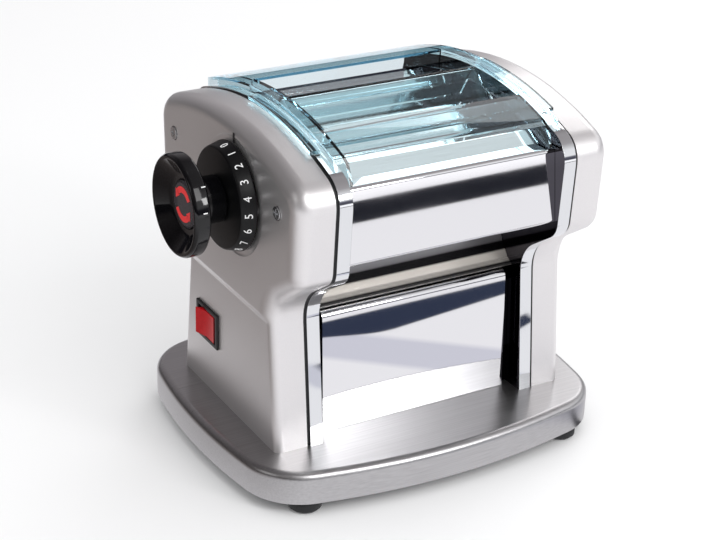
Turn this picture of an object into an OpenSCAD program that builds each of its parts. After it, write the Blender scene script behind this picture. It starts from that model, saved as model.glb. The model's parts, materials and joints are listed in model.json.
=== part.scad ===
// Electric pasta maker: two press rollers, one pair of cutter rolls, a gear motor and a lift-off guard.
// X runs from the knob side to the plain side, Y from the front to the back, Z up from the table.

/* [Frame] */
// Clear width between the two side frames
frame_gap = 145; // [120:0.5:180]
// Thickness of a side frame
frame_t = 8.5; // [6:0.5:12]
// How far a side frame stands proud of the housing outline
frame_proud = 1; // [0.5:0.1:2]
// Thickness of the black seal behind each housing
seal_t = 1.8; // [1:0.1:3]
// Width of the seal ring
seal_w = 6; // [4:0.5:10]

/* [Side outline] */
// Depth of the leg where it meets the base
leg_d = 130.8; // [122:0.2:145]
// Depth at the waist
waist_d = 110.6; // [106:0.2:120]
// Height of the waist above the base
waist_h = 97; // [90:0.5:102]
// Radius of the hollow under the head
waist_r = 26; // [15:1:30]
// Depth of the head at its lower corner
head_low_d = 181.2; // [176:0.2:190]
// Height of the lower corner of the head
head_low_h = 121.2; // [116:0.2:126]
// Radius of the lower corner of the head
head_low_r = 13; // [12:0.5:18]
// Depth of the head at its upper corner
head_high_d = 186.8; // [182:0.2:196]
// Radius of the upper corner of the head
head_high_r = 17; // [12:0.5:20]
// Height at which the two roof slopes would meet
roof_h = 211.8; // [206:0.2:216]
// How far the upper corner of the head lies below where the slopes meet
shoulder_drop = 33.6; // [28:0.2:38]
// Radius of the crown
crown_r = 236; // [200:2:240]

/* [Housings] */
// Depth of a housing from its seal to its outer face
housing_reach = 24.7; // [22:0.1:32]
// Step from the outer face of the head down to the face of the leg
leg_step = 3.1; // [1:0.1:5]
// Wall of a housing
housing_wall = 2.5; // [2:0.1:4]
// Radius of the outer edge of the head
head_edge_r = 10; // [6:0.5:11]
// Radius of the outer edge of the leg
leg_edge_r = 5; // [3:0.5:8]
// Height of a housing screw above the base
housing_screw_h = 161; // [150:1:168]
// Distance of a housing screw from the middle
housing_screw_y = 69; // [55:1:74]
// Diameter of a housing screw's shank
housing_screw_d = 4; // [3:0.5:5]
// Diameter of a housing screw's head
housing_screw_head_d = 8; // [7:0.5:9]
// Diameter of the post that takes a housing screw
standoff_d = 10; // [8:0.5:12]

/* [Base] */
// Width of the base
base_w = 257; // [235:1:280]
// Depth of the base
base_d = 213; // [200:1:230]
// Radius of the long bowed sides
base_front_r = 418; // [350:2:500]
// Radius of the short bowed sides
base_side_r = 397; // [350:2:500]
// Radius of the corners
base_corner_r = 40; // [25:1:42]
// Height of the base, from its rim to its top
base_h = 20.4; // [16:0.2:26]
// Radius of the upper edge
base_edge_r = 5; // [3:0.5:7]
// Wall of the base
base_wall = 2.5; // [2:0.1:3.5]
// Skin of the base top
base_skin = 2; // [1.5:0.1:3]
// Thickness of the bottom cover
bottom_t = 1.4; // [1:0.1:2]

/* [Feet] */
// Height of a foot below the base
foot_h = 8.6; // [6:0.2:12]
// Diameter of a foot
foot_d = 21; // [16:0.5:26]
// Distance of a foot's centre from the end of the base
foot_in_x = 34.5; // [28:0.5:45]
// Distance of a foot's centre from the front or back of the base
foot_in_y = 23; // [20:0.5:36]
// Diameter of a foot screw
foot_screw_d = 4; // [3:0.5:5]

/* [Press rollers] */
// Diameter of a press roller
roller_d = 28; // [24:0.5:29]
// Length of a press roller
roller_len = 144; // [118:0.5:144.4]
// Height of the roller axes above the base
roller_h = 129; // [126:0.5:131]
// Where the moving roller's axis lies along the depth at the widest gap
moving_y = -18; // [-20:0.5:-17]
// Widest gap between the press rollers
gap_max = 3; // [2:0.1:3.5]
// Narrowest gap between the press rollers
gap_min = 0.5; // [0.3:0.1:1]
// Diameter of a press roller's journal
journal_d = 10; // [8:0.5:11]

/* [Cutter rolls] */
// Diameter of a cutter roll
cutter_d = 23.8; // [23.2:0.1:24.2]
// Diameter at the bottom of a cutter roll's grooves
cutter_core_d = 20.2; // [18:0.1:20.6]
// Width of one noodle
noodle_w = 4; // [3:0.25:8]
// Side clearance between two interleaved discs
disc_clearance = 0.1; // [0.05:0.01:0.2]
// Where the front cutter roll's axis lies along the depth
cutter_y = 15; // [14:0.5:17]
// Height of the cutter axes above the base
cutter_h = 136; // [134:0.5:138]
// Diameter of a cutter roll's journal
cutter_journal_d = 8; // [6:0.5:9]

/* [Gears] */
// Width of the gears beside the frames
gear_w = 7; // [5:0.5:9]
// Module of the press roller pair
press_module = 2; // [2:0.1:2]
// Teeth on each press roller gear of the pair
press_teeth = 14; // [14:1:14]
// Module of the drive gears
drive_module = 1.5; // [1.5:0.1:1.5]
// Teeth on the gear that drives the fixed press roller
press_drive_teeth = 30; // [28:1:31]
// Teeth on each idler
idler_teeth = 20; // [19:1:21]
// Teeth on the pinion of the output shaft
output_teeth = 20; // [19:1:21]
// Teeth on the gear that drives the front cutter roll
cutter_drive_teeth = 20; // [18:1:20]
// Teeth on each gear of the cutter pair
cutter_teeth = 15; // [15:1:15]
// Backlash at the pitch circle
backlash = 0.3; // [0.2:0.05:0.5]
// Diameter of the fixed axles of the idlers
axle_d = 6; // [5:0.5:8]

/* [Gear motor] */
// Where the motor axis lies along the depth
motor_y = -3; // [-6:0.5:0]
// Height of the motor axis above the base
motor_h = 33; // [31:0.5:36]
// Diameter of the motor
motor_d = 58; // [50:1:60]
// Length of the motor
motor_len = 92; // [80:1:100]
// Diameter of the motor shaft
motor_shaft_d = 5; // [4:0.5:6]
// Diameter of the armature
armature_d = 36; // [30:1:42]
// Where the output axis lies along the depth
output_y = -5; // [-7:0.5:-3]
// Height of the output axis above the base
output_h = 83; // [82:0.5:85]
// Diameter of the output shaft
output_d = 10; // [8:0.5:12]
// Module of the first stage
first_module = 1; // [1:0.1:1]
// Teeth on the motor pinion
motor_teeth = 12; // [12:1:14]
// Teeth on the large wheel of the reduction gear
wheel_teeth = 48; // [46:1:48]
// Module of the second stage
second_module = 1.25; // [1.25:0.05:1.25]
// Teeth on the small pinion of the reduction gear
small_teeth = 12; // [12:1:13]
// Teeth on the output wheel
output_wheel_teeth = 40; // [38:1:40]
// Depth of the gearbox case
case_depth = 26; // [24:0.5:30]
// Wall of the gearbox case
case_wall = 2; // [1.6:0.1:2.5]

/* [Thickness adjuster] */
// Where the knob axis lies along the depth
knob_y = -14; // [-15:0.5:-13]
// Height of the knob axis above the base
knob_h = 151; // [150:0.5:153]
// Diameter of the cam shaft
shaft_d = 8; // [6:0.5:9]
// Smallest radius of a cam
cam_r = 8; // [7.5:0.1:8.2]
// How far the knob turns, in degrees
knob_turn = 162; // [120:1:170]
// Thickness of a slider's retainer
retainer_t = 2; // [1.5:0.1:2.5]
// Diameter of a retainer screw
retainer_screw_d = 3; // [2.5:0.5:3.5]

/* [Knob] */
// Diameter of the knob's disc
knob_d = 62; // [50:1:66]
// Thickness of the knob's disc
knob_rim = 11; // [8:0.5:14]
// Diameter of the knob's neck
neck_d = 28.5; // [24:0.5:34]
// Length of the neck
neck_len = 17.5; // [12:0.5:22]
// Diameter of the number dial at its back
dial_d = 67; // [60:1:72]
// Diameter of the number dial at its front
dial_front_d = 61; // [54:1:66]
// Thickness of the number dial
dial_t = 10; // [7:0.5:12]
// Gap between the dial and the housing
dial_gap = 0.5; // [0.3:0.1:1]
// Depth of the dish in the knob
dish_depth = 8; // [6:0.5:8.5]
// Diameter of the hub cap
hub_d = 29; // [24:0.5:34]
// How far the knob pulls out
knob_pull = 5; // [3:0.5:6]

/* [Switch] */
// Length of the switch bezel along the depth
bezel_l = 30; // [26:0.5:34]
// Height of the switch bezel
bezel_w = 24; // [20:0.5:28]
// Where the switch lies along the depth
switch_y = 27.7; // [18:0.1:32]
// Height of the switch above the base
switch_h = 46; // [35:0.5:60]
// Depth of the switch body behind its bezel
switch_depth = 17; // [14:0.5:19]
// Travel of the rocker, in degrees
rocker_travel = 16; // [10:1:20]

/* [Panels] */
// Sheet thickness of the panels and plates
sheet_t = 1; // [0.8:0.1:1.4]
// Distance of a top panel's upper edge from the middle
panel_high_y = 83; // [80:0.5:85]
// How far an upper panel's top lies below the upper corner of the head
panel_drop = 4.2; // [2.5:0.1:6]
// Distance of a top panel's lower edge from the middle
panel_low_y = 89.3; // [86:0.1:90]
// Height of a top panel's lower edge above the base
panel_low_h = 126; // [124:0.5:128]
// Distance of a lower panel's foot from the middle
skirt_low_y = 55; // [53:0.5:57]
// Distance of a lower panel's top from the middle
skirt_high_y = 50.5; // [49:0.5:52]
// Height of a lower panel's top above the base
skirt_h = 81; // [78:0.5:82]
// Gap between the raised middle of a lower panel and a side frame
skirt_gap = 6.2; // [4.5:0.1:17]
// How far the ends of a lower panel lie behind its middle
skirt_step = 5; // [3:0.5:7]
// Radius of the rolled top of a lower panel
roll_r = 5.5; // [4:0.5:6]
// Width of the rolled top
roll_w = 9; // [8:0.5:10]

/* [Feed plates] */
// Clearance between a feed plate and what turns below it
feed_clear = 3; // [2.5:0.1:4]
// Radius of the bends near the top panels
feed_bend_r = 6; // [4:0.5:7]
// Radius of the bends between the rollers and the cutters
feed_ridge_r = 4; // [3:0.5:5]
// Distance of the front plate's bend from the middle
feed_front_y = 58; // [54:0.5:62]
// Rise of the front plate's bend above the top panel's edge
feed_front_rise = 6.5; // [4:0.5:8]
// Drop of the plate over the knob's shaft below the top panel's edge
feed_valley_drop = 8.5; // [7:0.5:10]
// Rise of the ridge before the cutters above the top panel's edge
feed_ridge_rise = 0.5; // [0:0.5:2]
// Rise of the rear plate's bend above the top panel's edge
feed_rear_rise = 1.5; // [0:0.5:3]
// Half of the way left open over the press rollers
press_way = 4.5; // [4:0.5:6]
// Half of the way left open over the cutter rolls
cutter_way = 3.5; // [3:0.5:5]
// Set-back of the centre plate's bends from the nip and the shafts
feed_lip = 7; // [6:0.5:8]

/* [Guard] */
// Wall of the guard
guard_t = 2; // [1.6:0.1:3]
// How far the guard's rails stand above the side frames
guard_rise = 5; // [4:0.5:8]
// Distance of the guard's front corner from the middle
guard_front_y = 77.5; // [74:0.5:79]
// Distance of the guard's back edge from the middle
guard_back_y = 84; // [78:0.5:86]
// Front edge of the front opening
mouth_front_y = -51; // [-54:0.5:-48]
// Back edge of the rear opening
mouth_back_y = 41; // [38:0.5:46]
// Where the divider between the openings lies
divider_y = 2; // [0:0.5:4]
// How far the guard lifts off
guard_lift = 70; // [40:1:90]

/* [Hidden] */

$fn = 48;
over = 1;            // how far a cutting tool runs past the face it cuts
slack = 0.05;        // radial running clearance
seat = 0.03;         // radial clearance of a gear or disc on its shaft
touch = 0.2;         // clearance of a sheet or block between two faces
tap_t = 0.2;         // clearance round a screw in its hole

// Heights
base_z = foot_h + base_h;
roller_z = base_z + roller_h;
cutter_z = base_z + cutter_h;
output_z = base_z + output_h;
motor_z = base_z + motor_h;
knob_z = base_z + knob_h;
switch_z = base_z + switch_h;
screw_z = base_z + housing_screw_h;

// Places along the width, counted from the middle of the base
frame_in = frame_gap / 2;
frame_out = frame_in + frame_t;
seal_out = frame_out + seal_t;
face_x = seal_out + housing_reach;
leg_x = face_x - leg_step;
gear_x = frame_out + retainer_t + 1;
dial_x = face_x + dial_gap;
neck_x = dial_x + dial_t;
disc_x = neck_x + neck_len;
knob_x = disc_x + knob_rim;

// The middle of the bounding box is the origin, and the knob reaches past the base
shift_x = (knob_x - base_w / 2) / 2;

// Axes as [y, z]
moving = [moving_y, roller_z];
gap_travel = gap_max - gap_min;
fixed = [moving_y - roller_d - gap_max, roller_z];
cutter_pitch = drive_module * cutter_teeth;
cutter_a = [cutter_y, cutter_z];
cutter_b = [cutter_y + cutter_pitch, cutter_z];
output = [output_y, output_z];
motor = [motor_y, motor_z];
knob_at = [knob_y, knob_z];

function unit(v) = v / norm(v);
function turned(v) = [-v[1], v[0]];
function cross2(a, b) = a[0] * b[1] - a[1] * b[0];
function xy(c) = [c[0], c[1]];
function flip_y(path) = [for (i = [len(path) - 1:-1:0]) [-path[i][0], path[i][1],
    each [for (k = [2:1:len(path[i]) - 1]) path[i][k]]]];

// One corner of an outline: a list of [point, outward normal]
function corner_arc(p, c, n, r, steps) =
    let (a = unit(p - c), b = unit(n - c), half = acos(a * b) / 2, side = cross2(c - p, n - c) > 0 ? 1 : -1)
    r == 0 ? [[c, -side * unit(a + b) / sin(half)]] :
    let (centre = c + unit(a + b) * r / sin(half),
         u = unit(c + a * r / tan(half) - centre), v = unit(c + b * r / tan(half) - centre),
         start = atan2(u[1], u[0]), sweep = atan2(cross2(u, v), u * v))
    [for (k = [0:steps]) let (w = start + sweep * k / steps, d = [cos(w), sin(w)]) [centre + r * d,
        side * d]];

// Closed outline from [a, b, radius, steps] corners that run anticlockwise
function outline(corners) =
    let (n = len(corners))
    [for (i = [0:n - 1]) each corner_arc(xy(corners[(i + n - 1) % n]), xy(corners[i]),
        xy(corners[(i + 1) % n]),
                                         corners[i][2], corners[i][3])];
function inset(o, d) = [for (q = o) q[0] - d * q[1]];

// Open path from [a, b, radius] bends, and the ribbon of thickness t on its left
function bent(path) =
    let (n = len(path))
    [for (i = [0:n - 1]) each (i == 0 || i == n - 1 || path[i][2] == 0 ? [xy(path[i])] :
        [for (q = corner_arc(xy(path[i - 1]), xy(path[i]), xy(path[i + 1]), path[i][2], 8)) q[0]])];
function mitre(p, i, t) =
    i == 0 ? p[0] + t * turned(unit(p[1] - p[0])) :
    i == len(p) - 1 ? p[i] + t * turned(unit(p[i] - p[i - 1])) :
    let (a = turned(unit(p[i] - p[i - 1])), b = turned(unit(p[i + 1] - p[i])), m = unit(a + b)) p[i] + t
        * m / (m * a);
function ribbon(p, t) = concat(p, [for (i = [len(p) - 1:-1:0]) mitre(p, i, t)]);

// Where a gear lies that meshes with two others; side picks one of the two places
function mesh_point(a, ra, b, rb, side) =
    let (v = b - a, d = norm(v), u = v / d, s = (ra * ra - rb * rb + d * d) / (2 * d),
        h = sqrt(ra * ra - s * s))
    a + s * u + side * h * turned(u);

// Phase of a gear that follows another in mesh
function mesh_phase(a, phase, n_a, b, n_b) =
    let (w = atan2(b[1] - a[1], b[0] - a[0]), f = (w - phase) * n_a / 360)
    w + 180 - (0.5 - f) * 360 / n_b;

// The side outline of frames, seals and housings, carried on below the base top for a clean cut there
below = 20;
leg_slope = (leg_d - waist_d) / 2 / waist_h;
leg_low_y = leg_d / 2 + leg_slope * below;
crown_steps = 17;
head_high_h = roof_h - shoulder_drop;
side_corners = [
    [-leg_low_y, base_z - below, 0, 1], [leg_low_y, base_z - below, 0, 1],
    [waist_d / 2, base_z + waist_h, waist_r, 12], [head_low_d / 2, base_z + head_low_h, head_low_r, 7],
    [head_high_d / 2, base_z + head_high_h, head_high_r, 7], [0, base_z + roof_h, crown_r, crown_steps],
    [-head_high_d / 2, base_z + head_high_h, head_high_r, 7], [-head_low_d / 2, base_z + head_low_h,
        head_low_r, 7],
    [-waist_d / 2, base_z + waist_h, waist_r, 12]];
side_outline = outline(side_corners);

// Height of the roof slope at a distance from the middle, moved outwards by d
roof_angle = atan((roof_h - head_high_h) / (head_high_d / 2));
function roof_z(y, d) = base_z + roof_h + d / cos(roof_angle) - tan(roof_angle) * abs(y);

// Solid between loops of points; the last loop of a housing is closed by strips between its mirrored points
module skin(loops, strips = false) {
    n = len(loops[0]);
    m = len(loops) - 1;
    sides = [for (j = [0:m - 1]) for (i = [0:n - 1]) let (a = j * n + i, b = j * n + (i + 1) % n)
        each [[a, b + n, b], [a, a + n, b + n]]];
    first = strips ? [for (k = [1:n / 2 - 1]) [k, k + 1, n - k, (n + 1 - k) % n]] : [[for (i = [0:n - 1]) i]];
    last = strips ? [for (k = [1:n / 2 - 1]) [m * n + (n + 1 - k) % n, m * n + n - k, m * n + k + 1,
        m * n + k]]
        : [[for (i = [n - 1:-1:0]) m * n + i]];
    polyhedron(points = [for (l = loops) each l], faces = concat(sides, first, last), convexity = 6);
}

// A profile drawn in the depth and height plane, extruded along the width
module along(x0, x1) translate([x0, 0, 0]) rotate([90, 0, 90]) linear_extrude(x1 - x0) children();
module rod(at, d, x0, x1) translate([x0, at[0], at[1]]) rotate([0, 90, 0]) cylinder(d = d, h = x1 - x0);
module both() {
    children();
    mirror([1, 0, 0]) children();
}
module above_base() intersection() {
    children();
    translate([-300, -300, base_z]) cube([600, 600, 600]);
}

// Involute gear, centred on its axis, from z = 0 to z = w
function tooth_angle(n, m, pa, lash, r) =
    let (rp = n * m / 2, rb = rp * cos(pa), half = 90 / n - lash / 2 / rp * 180 / PI,
         inv_p = tan(pa) * 180 / PI - pa, q = max(r, rb), aq = acos(rb / q))
    half + inv_p - (tan(aq) * 180 / PI - aq);
function gear_points(n, m, pa, lash, add, ded) =
    let (rp = n * m / 2, root = rp - ded, tip = rp + add, from = max(root, rp * cos(pa)),
         radii = concat(from > root ? [root] : [], [for (k = [0:4]) from + (tip - from) * k / 4]),
             c = len(radii))
    [for (t = [0:n - 1]) let (mid = 360 * t / n)
        each concat([for (k = [0:c - 1]) let (w = mid - tooth_angle(n, m, pa, lash,
            radii[k])) radii[k] * [cos(w), sin(w)]],
                    [for (k = [c - 1:-1:0]) let (w = mid + tooth_angle(n, m, pa, lash,
                        radii[k])) radii[k] * [cos(w), sin(w)]])];
module gear(at, n, m, x0, x1, bore, phase, pa = 20, add = 1, ded = 1.25)
    difference() {
        translate([x0, at[0], at[1]]) rotate([90, 0, 90]) rotate([0, 0, phase]) linear_extrude(x1 - x0)
            polygon(gear_points(n, m, pa, backlash, add * m, ded * m));
        if (bore > 0) rod(at, bore, x0 - over, x1 + over);
    }

// Gears of the drive: places and phases
module_sum = drive_module / 2;
idler_a = mesh_point(output, module_sum * (output_teeth + idler_teeth), fixed,
                     module_sum * (press_drive_teeth + idler_teeth), 1);
idler_b = mesh_point(output, module_sum * (output_teeth + idler_teeth), cutter_a,
                     module_sum * (cutter_drive_teeth + idler_teeth), -1);
lay = mesh_point(motor, first_module * (motor_teeth + wheel_teeth) / 2, output,
                 second_module * (small_teeth + output_wheel_teeth) / 2, -1);
idler_a_phase = mesh_phase(output, 0, output_teeth, idler_a, idler_teeth);
idler_b_phase = mesh_phase(output, 0, output_teeth, idler_b, idler_teeth);
press_drive_phase = mesh_phase(idler_a, idler_a_phase, idler_teeth, fixed, press_drive_teeth);
cutter_drive_phase = mesh_phase(idler_b, idler_b_phase, idler_teeth, cutter_a, cutter_drive_teeth);
moving_phase = mesh_phase(fixed, 0, press_teeth, moving, press_teeth);
cutter_phase = mesh_phase(cutter_a, 0, cutter_teeth, cutter_b, cutter_teeth);
wheel_phase = mesh_phase(motor, 0, motor_teeth, lay, wheel_teeth);
output_phase = mesh_phase(lay, 0, small_teeth, output, output_wheel_teeth);
gear_end = gear_x + gear_w;

// Base
base_front_a = 11;
base_side_a = 9;
front_apex = base_d / 2 + base_front_r * (1 / cos(base_front_a) - 1);
side_apex = base_w / 2 + base_side_r * (1 / cos(base_side_a) - 1);
corner_x = (side_apex - tan(base_side_a) * front_apex) / (1 - tan(base_front_a) * tan(base_side_a));
corner_y = front_apex - tan(base_front_a) * corner_x;
base_corners = [
    [0, -front_apex, base_front_r, 8], [corner_x, -corner_y, base_corner_r, 8], [side_apex, 0, base_side_r,
        8],
    [corner_x, corner_y, base_corner_r, 8], [0, front_apex, base_front_r, 8], [-corner_x, corner_y,
        base_corner_r, 8],
    [-side_apex, 0, base_side_r, 8], [-corner_x, -corner_y, base_corner_r, 8]];
base_outline = outline(base_corners);
foot_seat_z = foot_h + bottom_t;
edge_steps = 5;
function at_z(points, z) = [for (p = points) [p[0], p[1], z]];
foot_pitch_x = base_w - 2 * foot_in_x;
foot_pitch_y = base_d - 2 * foot_in_y;
module feet_places() for (sx = [-1, 1], sy = [-1, 1]) translate([sx * foot_pitch_x / 2,
    sy * foot_pitch_y / 2, 0]) children();
frame_mid = (frame_in + frame_out) / 2;
frame_screw_y = 45;
frame_screw_d = 5;
frame_screw_len = 16;
module frame_screw_places() for (sx = [-1, 1], sy = [-1, 1]) translate([sx * frame_mid, sy * frame_screw_y,
    0]) children();

module base_plate() color("#b9bab9") difference() {
    union() {
        difference() {
            skin([at_z(inset(base_outline, 0), foot_h), for (k = [0:edge_steps]) let (t = 90 * k / edge_steps)
                at_z(inset(base_outline, base_edge_r * (1 - cos(t))), base_z - base_edge_r * (1 - sin(t)))]);
            translate([0, 0, foot_h - over]) linear_extrude(base_h
                - base_skin + over) polygon(inset(base_outline, base_wall));
        }
        feet_places() translate([0, 0, foot_seat_z]) cylinder(d = foot_screw_d + 6,
            h = base_z - base_skin / 2 - foot_seat_z);
    }
    feet_places() translate([0, 0, foot_h]) cylinder(d = foot_screw_d + 2 * slack, h = base_h - 5);
    frame_screw_places() translate([0, 0, foot_h]) cylinder(d = frame_screw_d + 2 * tap_t, h = base_h + over);
    gland_cut(gland_neck_d + 2 * seat, gland_y - base_wall - 4, gland_y + 4);
}

vent_slots = 7;
vent_pitch = 9;
module bottom_cover() color("#2b2c2e") difference() {
    translate([0, 0, foot_h]) linear_extrude(bottom_t) polygon(inset(base_outline, base_wall + touch));
    feet_places() translate([0, 0, foot_h - over]) cylinder(d = foot_screw_d + 2 * tap_t,
        h = bottom_t + 2 * over);
    for (k = [0:vent_slots - 1]) translate([(k - (vent_slots - 1) / 2) * vent_pitch - 2, -25, foot_h - over])
        cube([4, 50, bottom_t + 2 * over]);
}

foot_recess_d = 9;
foot_recess_h = 4;
foot_rim_h = 2;
module feet() color("#17181a") feet_places() difference() {
    rotate_extrude() polygon([[0, 0], [foot_d / 2 - foot_rim_h, 0], [foot_d / 2, foot_rim_h], [foot_d / 2,
        foot_h - 2.5],
        [foot_d / 2 - 2, foot_h], [0, foot_h]]);
    translate([0, 0, -over]) cylinder(d = foot_recess_d, h = foot_recess_h + over);
    cylinder(d = foot_screw_d + 2 * tap_t, h = foot_h + over);
}

module foot_screws() color("#8d8f90") feet_places() {
    translate([0, 0, foot_recess_h - 2.4]) cylinder(d = foot_recess_d - 2, h = 2.4);
    translate([0, 0, foot_recess_h]) cylinder(d = foot_screw_d, h = base_h - 4);
}

// Gland for the supply cord, in the rear wall of the base
gland_hole_d = 6.5;
gland_collar_d = 13;
gland_neck_d = 10;
gland_z = foot_h + 8.5;
gland_y = base_d / 2;
module gland_cut(d, y0, y1) translate([0, y0, gland_z]) rotate([-90, 0, 0]) cylinder(d = d, h = y1 - y0);
module cord_gland() color("#17181a") difference() {
    union() {
        gland_cut(gland_collar_d, gland_y, gland_y + 3);
        gland_cut(gland_neck_d, gland_y - base_wall - 1, gland_y + 1);
        gland_cut(gland_collar_d, gland_y - base_wall - 3, gland_y - base_wall - touch);
    }
    gland_cut(gland_hole_d, gland_y - base_wall - 6, gland_y + 5);
}

// Side frames
bush_wall = 3;
bush_lip = 1.5;
press_bush_d = journal_d + 2 * bush_wall;
cutter_bush_d = cutter_journal_d + 2 * bush_wall;
block_back = 12;
block_front = 11;
block_low = 11;
block_high = 10.5;
arm_high = 11.9;
slide_fit = 0.1;
window_front = gap_travel + 0.7;
cam_room = 12;
face_gap = 0.1;
block_top_z = roller_z + block_high;
block_low_z = roller_z - block_low;
arm_y = knob_y - cam_r - face_gap;
arm_top_z = knob_z + arm_high;
tie_low = [40, base_z + 16];
tie_high = [76, base_z + 136];
tie_d = 8;
tie_screw_d = 5;
function tie_places() = [for (s = [-1, 1]) each [[s * tie_low[0], tie_low[1]], [s * tie_high[0],
    tie_high[1]]]];

module frame_shape() polygon(inset(side_outline, -frame_proud));
module frame_window(x0, x1) {
    translate([x0, moving_y - block_front - window_front, block_low_z - slide_fit])
        cube([x1 - x0, block_front + block_back + window_front + touch, block_top_z - block_low_z
            + 2 * slide_fit]);
    translate([x0, moving_y - block_front - window_front, roller_z])
        cube([x1 - x0, knob_y + cam_room - moving_y + block_front + window_front,
            arm_top_z - roller_z + slide_fit]);
}
// The right frame also carries the idlers and lets the output shaft through
module side_frame(drive_side) color("#d5d7d9") difference() {
    above_base() along(frame_in, frame_out) frame_shape();
    frame_window(frame_in - over, frame_out + over);
    rod(fixed, press_bush_d + 2 * seat, frame_in - over, frame_out + over);
    rod(cutter_a, cutter_bush_d + 2 * seat, frame_in - over, frame_out + over);
    rod(cutter_b, cutter_bush_d + 2 * seat, frame_in - over, frame_out + over);
    for (t = tie_places()) rod(t, tie_screw_d + 2 * tap_t, frame_in - over, frame_out + over);
    for (s = [-1, 1]) {
        rod([s * housing_screw_y, screw_z], housing_screw_d + 2 * seat, frame_in - over, frame_out + over);
        translate([frame_mid, s * frame_screw_y, base_z - over])
            cylinder(d = frame_screw_d + 2 * slack, h = frame_screw_len + over);
    }
    for (p = retainer_places()) rod(p, retainer_screw_d + 2 * slack, frame_out - 6, frame_out + over);
    if (drive_side) {
        rod(output, output_d + 2 * slack, frame_in - over, frame_out + over);
        rod(idler_a, axle_d + 2 * seat, frame_in - over, frame_out + over);
        rod(idler_b, axle_d + 2 * seat, frame_in - over, frame_out + over);
    }
}
module side_frame_left() mirror([1, 0, 0]) side_frame(false);
module side_frame_right() side_frame(true);

module side_seals() color("#141517") both() above_base() along(frame_out, seal_out) difference() {
    polygon(inset(side_outline, 0.3));
    polygon(inset(side_outline, seal_w));
}

tie_screw_len = 12;
module frame_screws() color("#8d8f90") {
    frame_screw_places() {
        translate([0, 0, base_z - base_skin - 3]) cylinder(d = 9, h = 3);
        translate([0, 0, base_z - base_skin]) cylinder(d = frame_screw_d, h = base_skin + frame_screw_len
            - 1);
    }
    both() for (t = tie_places()) {
        rod(t, 9, frame_out, frame_out + 3);
        rod(t, tie_screw_d, frame_out - frame_t - tie_screw_len, frame_out);
    }
}

module tie_rods() color("#9fa2a4") for (t = tie_places()) difference() {
    rod(t, tie_d, -frame_in, frame_in);
    both() rod(t, tie_screw_d + 2 * slack, frame_in - tie_screw_len - 1, frame_in + over);
}

// Housings: the edge radius and the outer face follow the height
blend_low = side_outline[2][0][1];
blend_high = blend_low + 8;
function smooth(z) = let (t = min(1, max(0, (z - blend_low) / (blend_high - blend_low)))) t * t * (3 - 2 * t);
function edge_r(z) = leg_edge_r + (head_edge_r - leg_edge_r) * smooth(z);
function outer_x(z) = leg_x + (face_x - leg_x) * smooth(z);
module housing_skin() skin(concat(
    [[for (q = side_outline) [seal_out, q[0][0], q[0][1]]]],
    [for (k = [0:edge_steps]) let (t = 90 * k / edge_steps)
        [for (q = side_outline) let (r = edge_r(q[0][1]), p = q[0] - r * (1 - cos(t)) * q[1])
            [outer_x(q[0][1]) - r * (1 - sin(t)), p[0], p[1]]]]), true);

standoff_end = face_x - housing_wall;
switch_cut_l = bezel_l - 3;
switch_cut_w = bezel_w - 3;
grommet_z = base_z + 16;
module housing() color("#bdbbba") difference() {
    above_base() housing_skin();
    above_cavity();
    for (s = [-1, 1]) {
        rod([s * housing_screw_y, screw_z], housing_screw_d + 2 * tap_t, face_x - 10, face_x + over);
        rod([s * housing_screw_y, screw_z], housing_screw_head_d + 1, face_x - 1.2, face_x + over);
    }
}
// The hollow is stepped, so that its wall stays whole behind the rounded edges
module above_cavity() {
    deep = head_edge_r * 0.55;
    intersection() {
        union() {
            along(seal_out - over, face_x - head_edge_r) polygon(inset(side_outline, housing_wall));
            along(seal_out - over, face_x - housing_wall) polygon(inset(side_outline, housing_wall + deep));
        }
        union() {
            translate([0, -200, blend_high]) cube([400, 400, 400]);
            translate([0, -200, base_z - over]) cube([leg_x - housing_wall, 400, 400]);
        }
    }
}
module housing_left() difference() {
    mirror([1, 0, 0]) housing();
    color("#bdbbba") rod(knob_at, shaft_d + 2 * slack, -face_x - over, -face_x + 10);
    color("#bdbbba") rod(detent_at, detent_d + 2 * seat, -face_x - over, -face_x + 10);
    color("#bdbbba") translate([-leg_x - over, switch_y - switch_cut_l / 2, switch_z - switch_cut_w / 2])
        cube([10, switch_cut_l, switch_cut_w]);
}
module housing_right() housing();

module housing_standoffs() color("#a7a9ab") both() for (s = [-1, 1]) difference() {
    union() {
        rod([s * housing_screw_y, screw_z], standoff_d, frame_out, standoff_end);
        rod([s * housing_screw_y, screw_z], housing_screw_d, frame_in + 1, frame_out);
    }
    rod([s * housing_screw_y, screw_z], housing_screw_d + 2 * slack, standoff_end - 15, standoff_end + over);
}

module housing_screws() color("#c9cbcc") both() for (s = [-1, 1]) {
    rod([s * housing_screw_y, screw_z], housing_screw_d, standoff_end - 12, face_x - 1.2);
    difference() {
        rod([s * housing_screw_y, screw_z], housing_screw_head_d, face_x - 1.2, face_x + 0.8);
        translate([face_x, s * housing_screw_y - 2.5, screw_z - 0.5]) cube([over, 5, 1]);
        translate([face_x, s * housing_screw_y - 0.5, screw_z - 2.5]) cube([over, 1, 5]);
    }
}

// Panels, drawn for the front and turned round for the rear
module rear() mirror([0, 1, 0]) children();
panel_lip = 8;
panel_high_h = head_high_h - panel_drop;
panel_rise = 1.5;
panel_back_y = panel_high_y - 9;
panel_end = frame_in - touch;
top_panel_path = [
    [-panel_low_y + panel_lip, base_z + panel_low_h + 3, 0], [-panel_low_y, base_z + panel_low_h, 2.5],
    [-panel_high_y, base_z + panel_high_h, 3], [-panel_back_y, base_z + panel_high_h + panel_rise, 0]];
module top_panel() color("#d5d7d9") along(-panel_end, panel_end) polygon(ribbon(bent(top_panel_path),
    -sheet_t));
module top_panel_front() top_panel();
module top_panel_rear() rear() top_panel();

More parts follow.
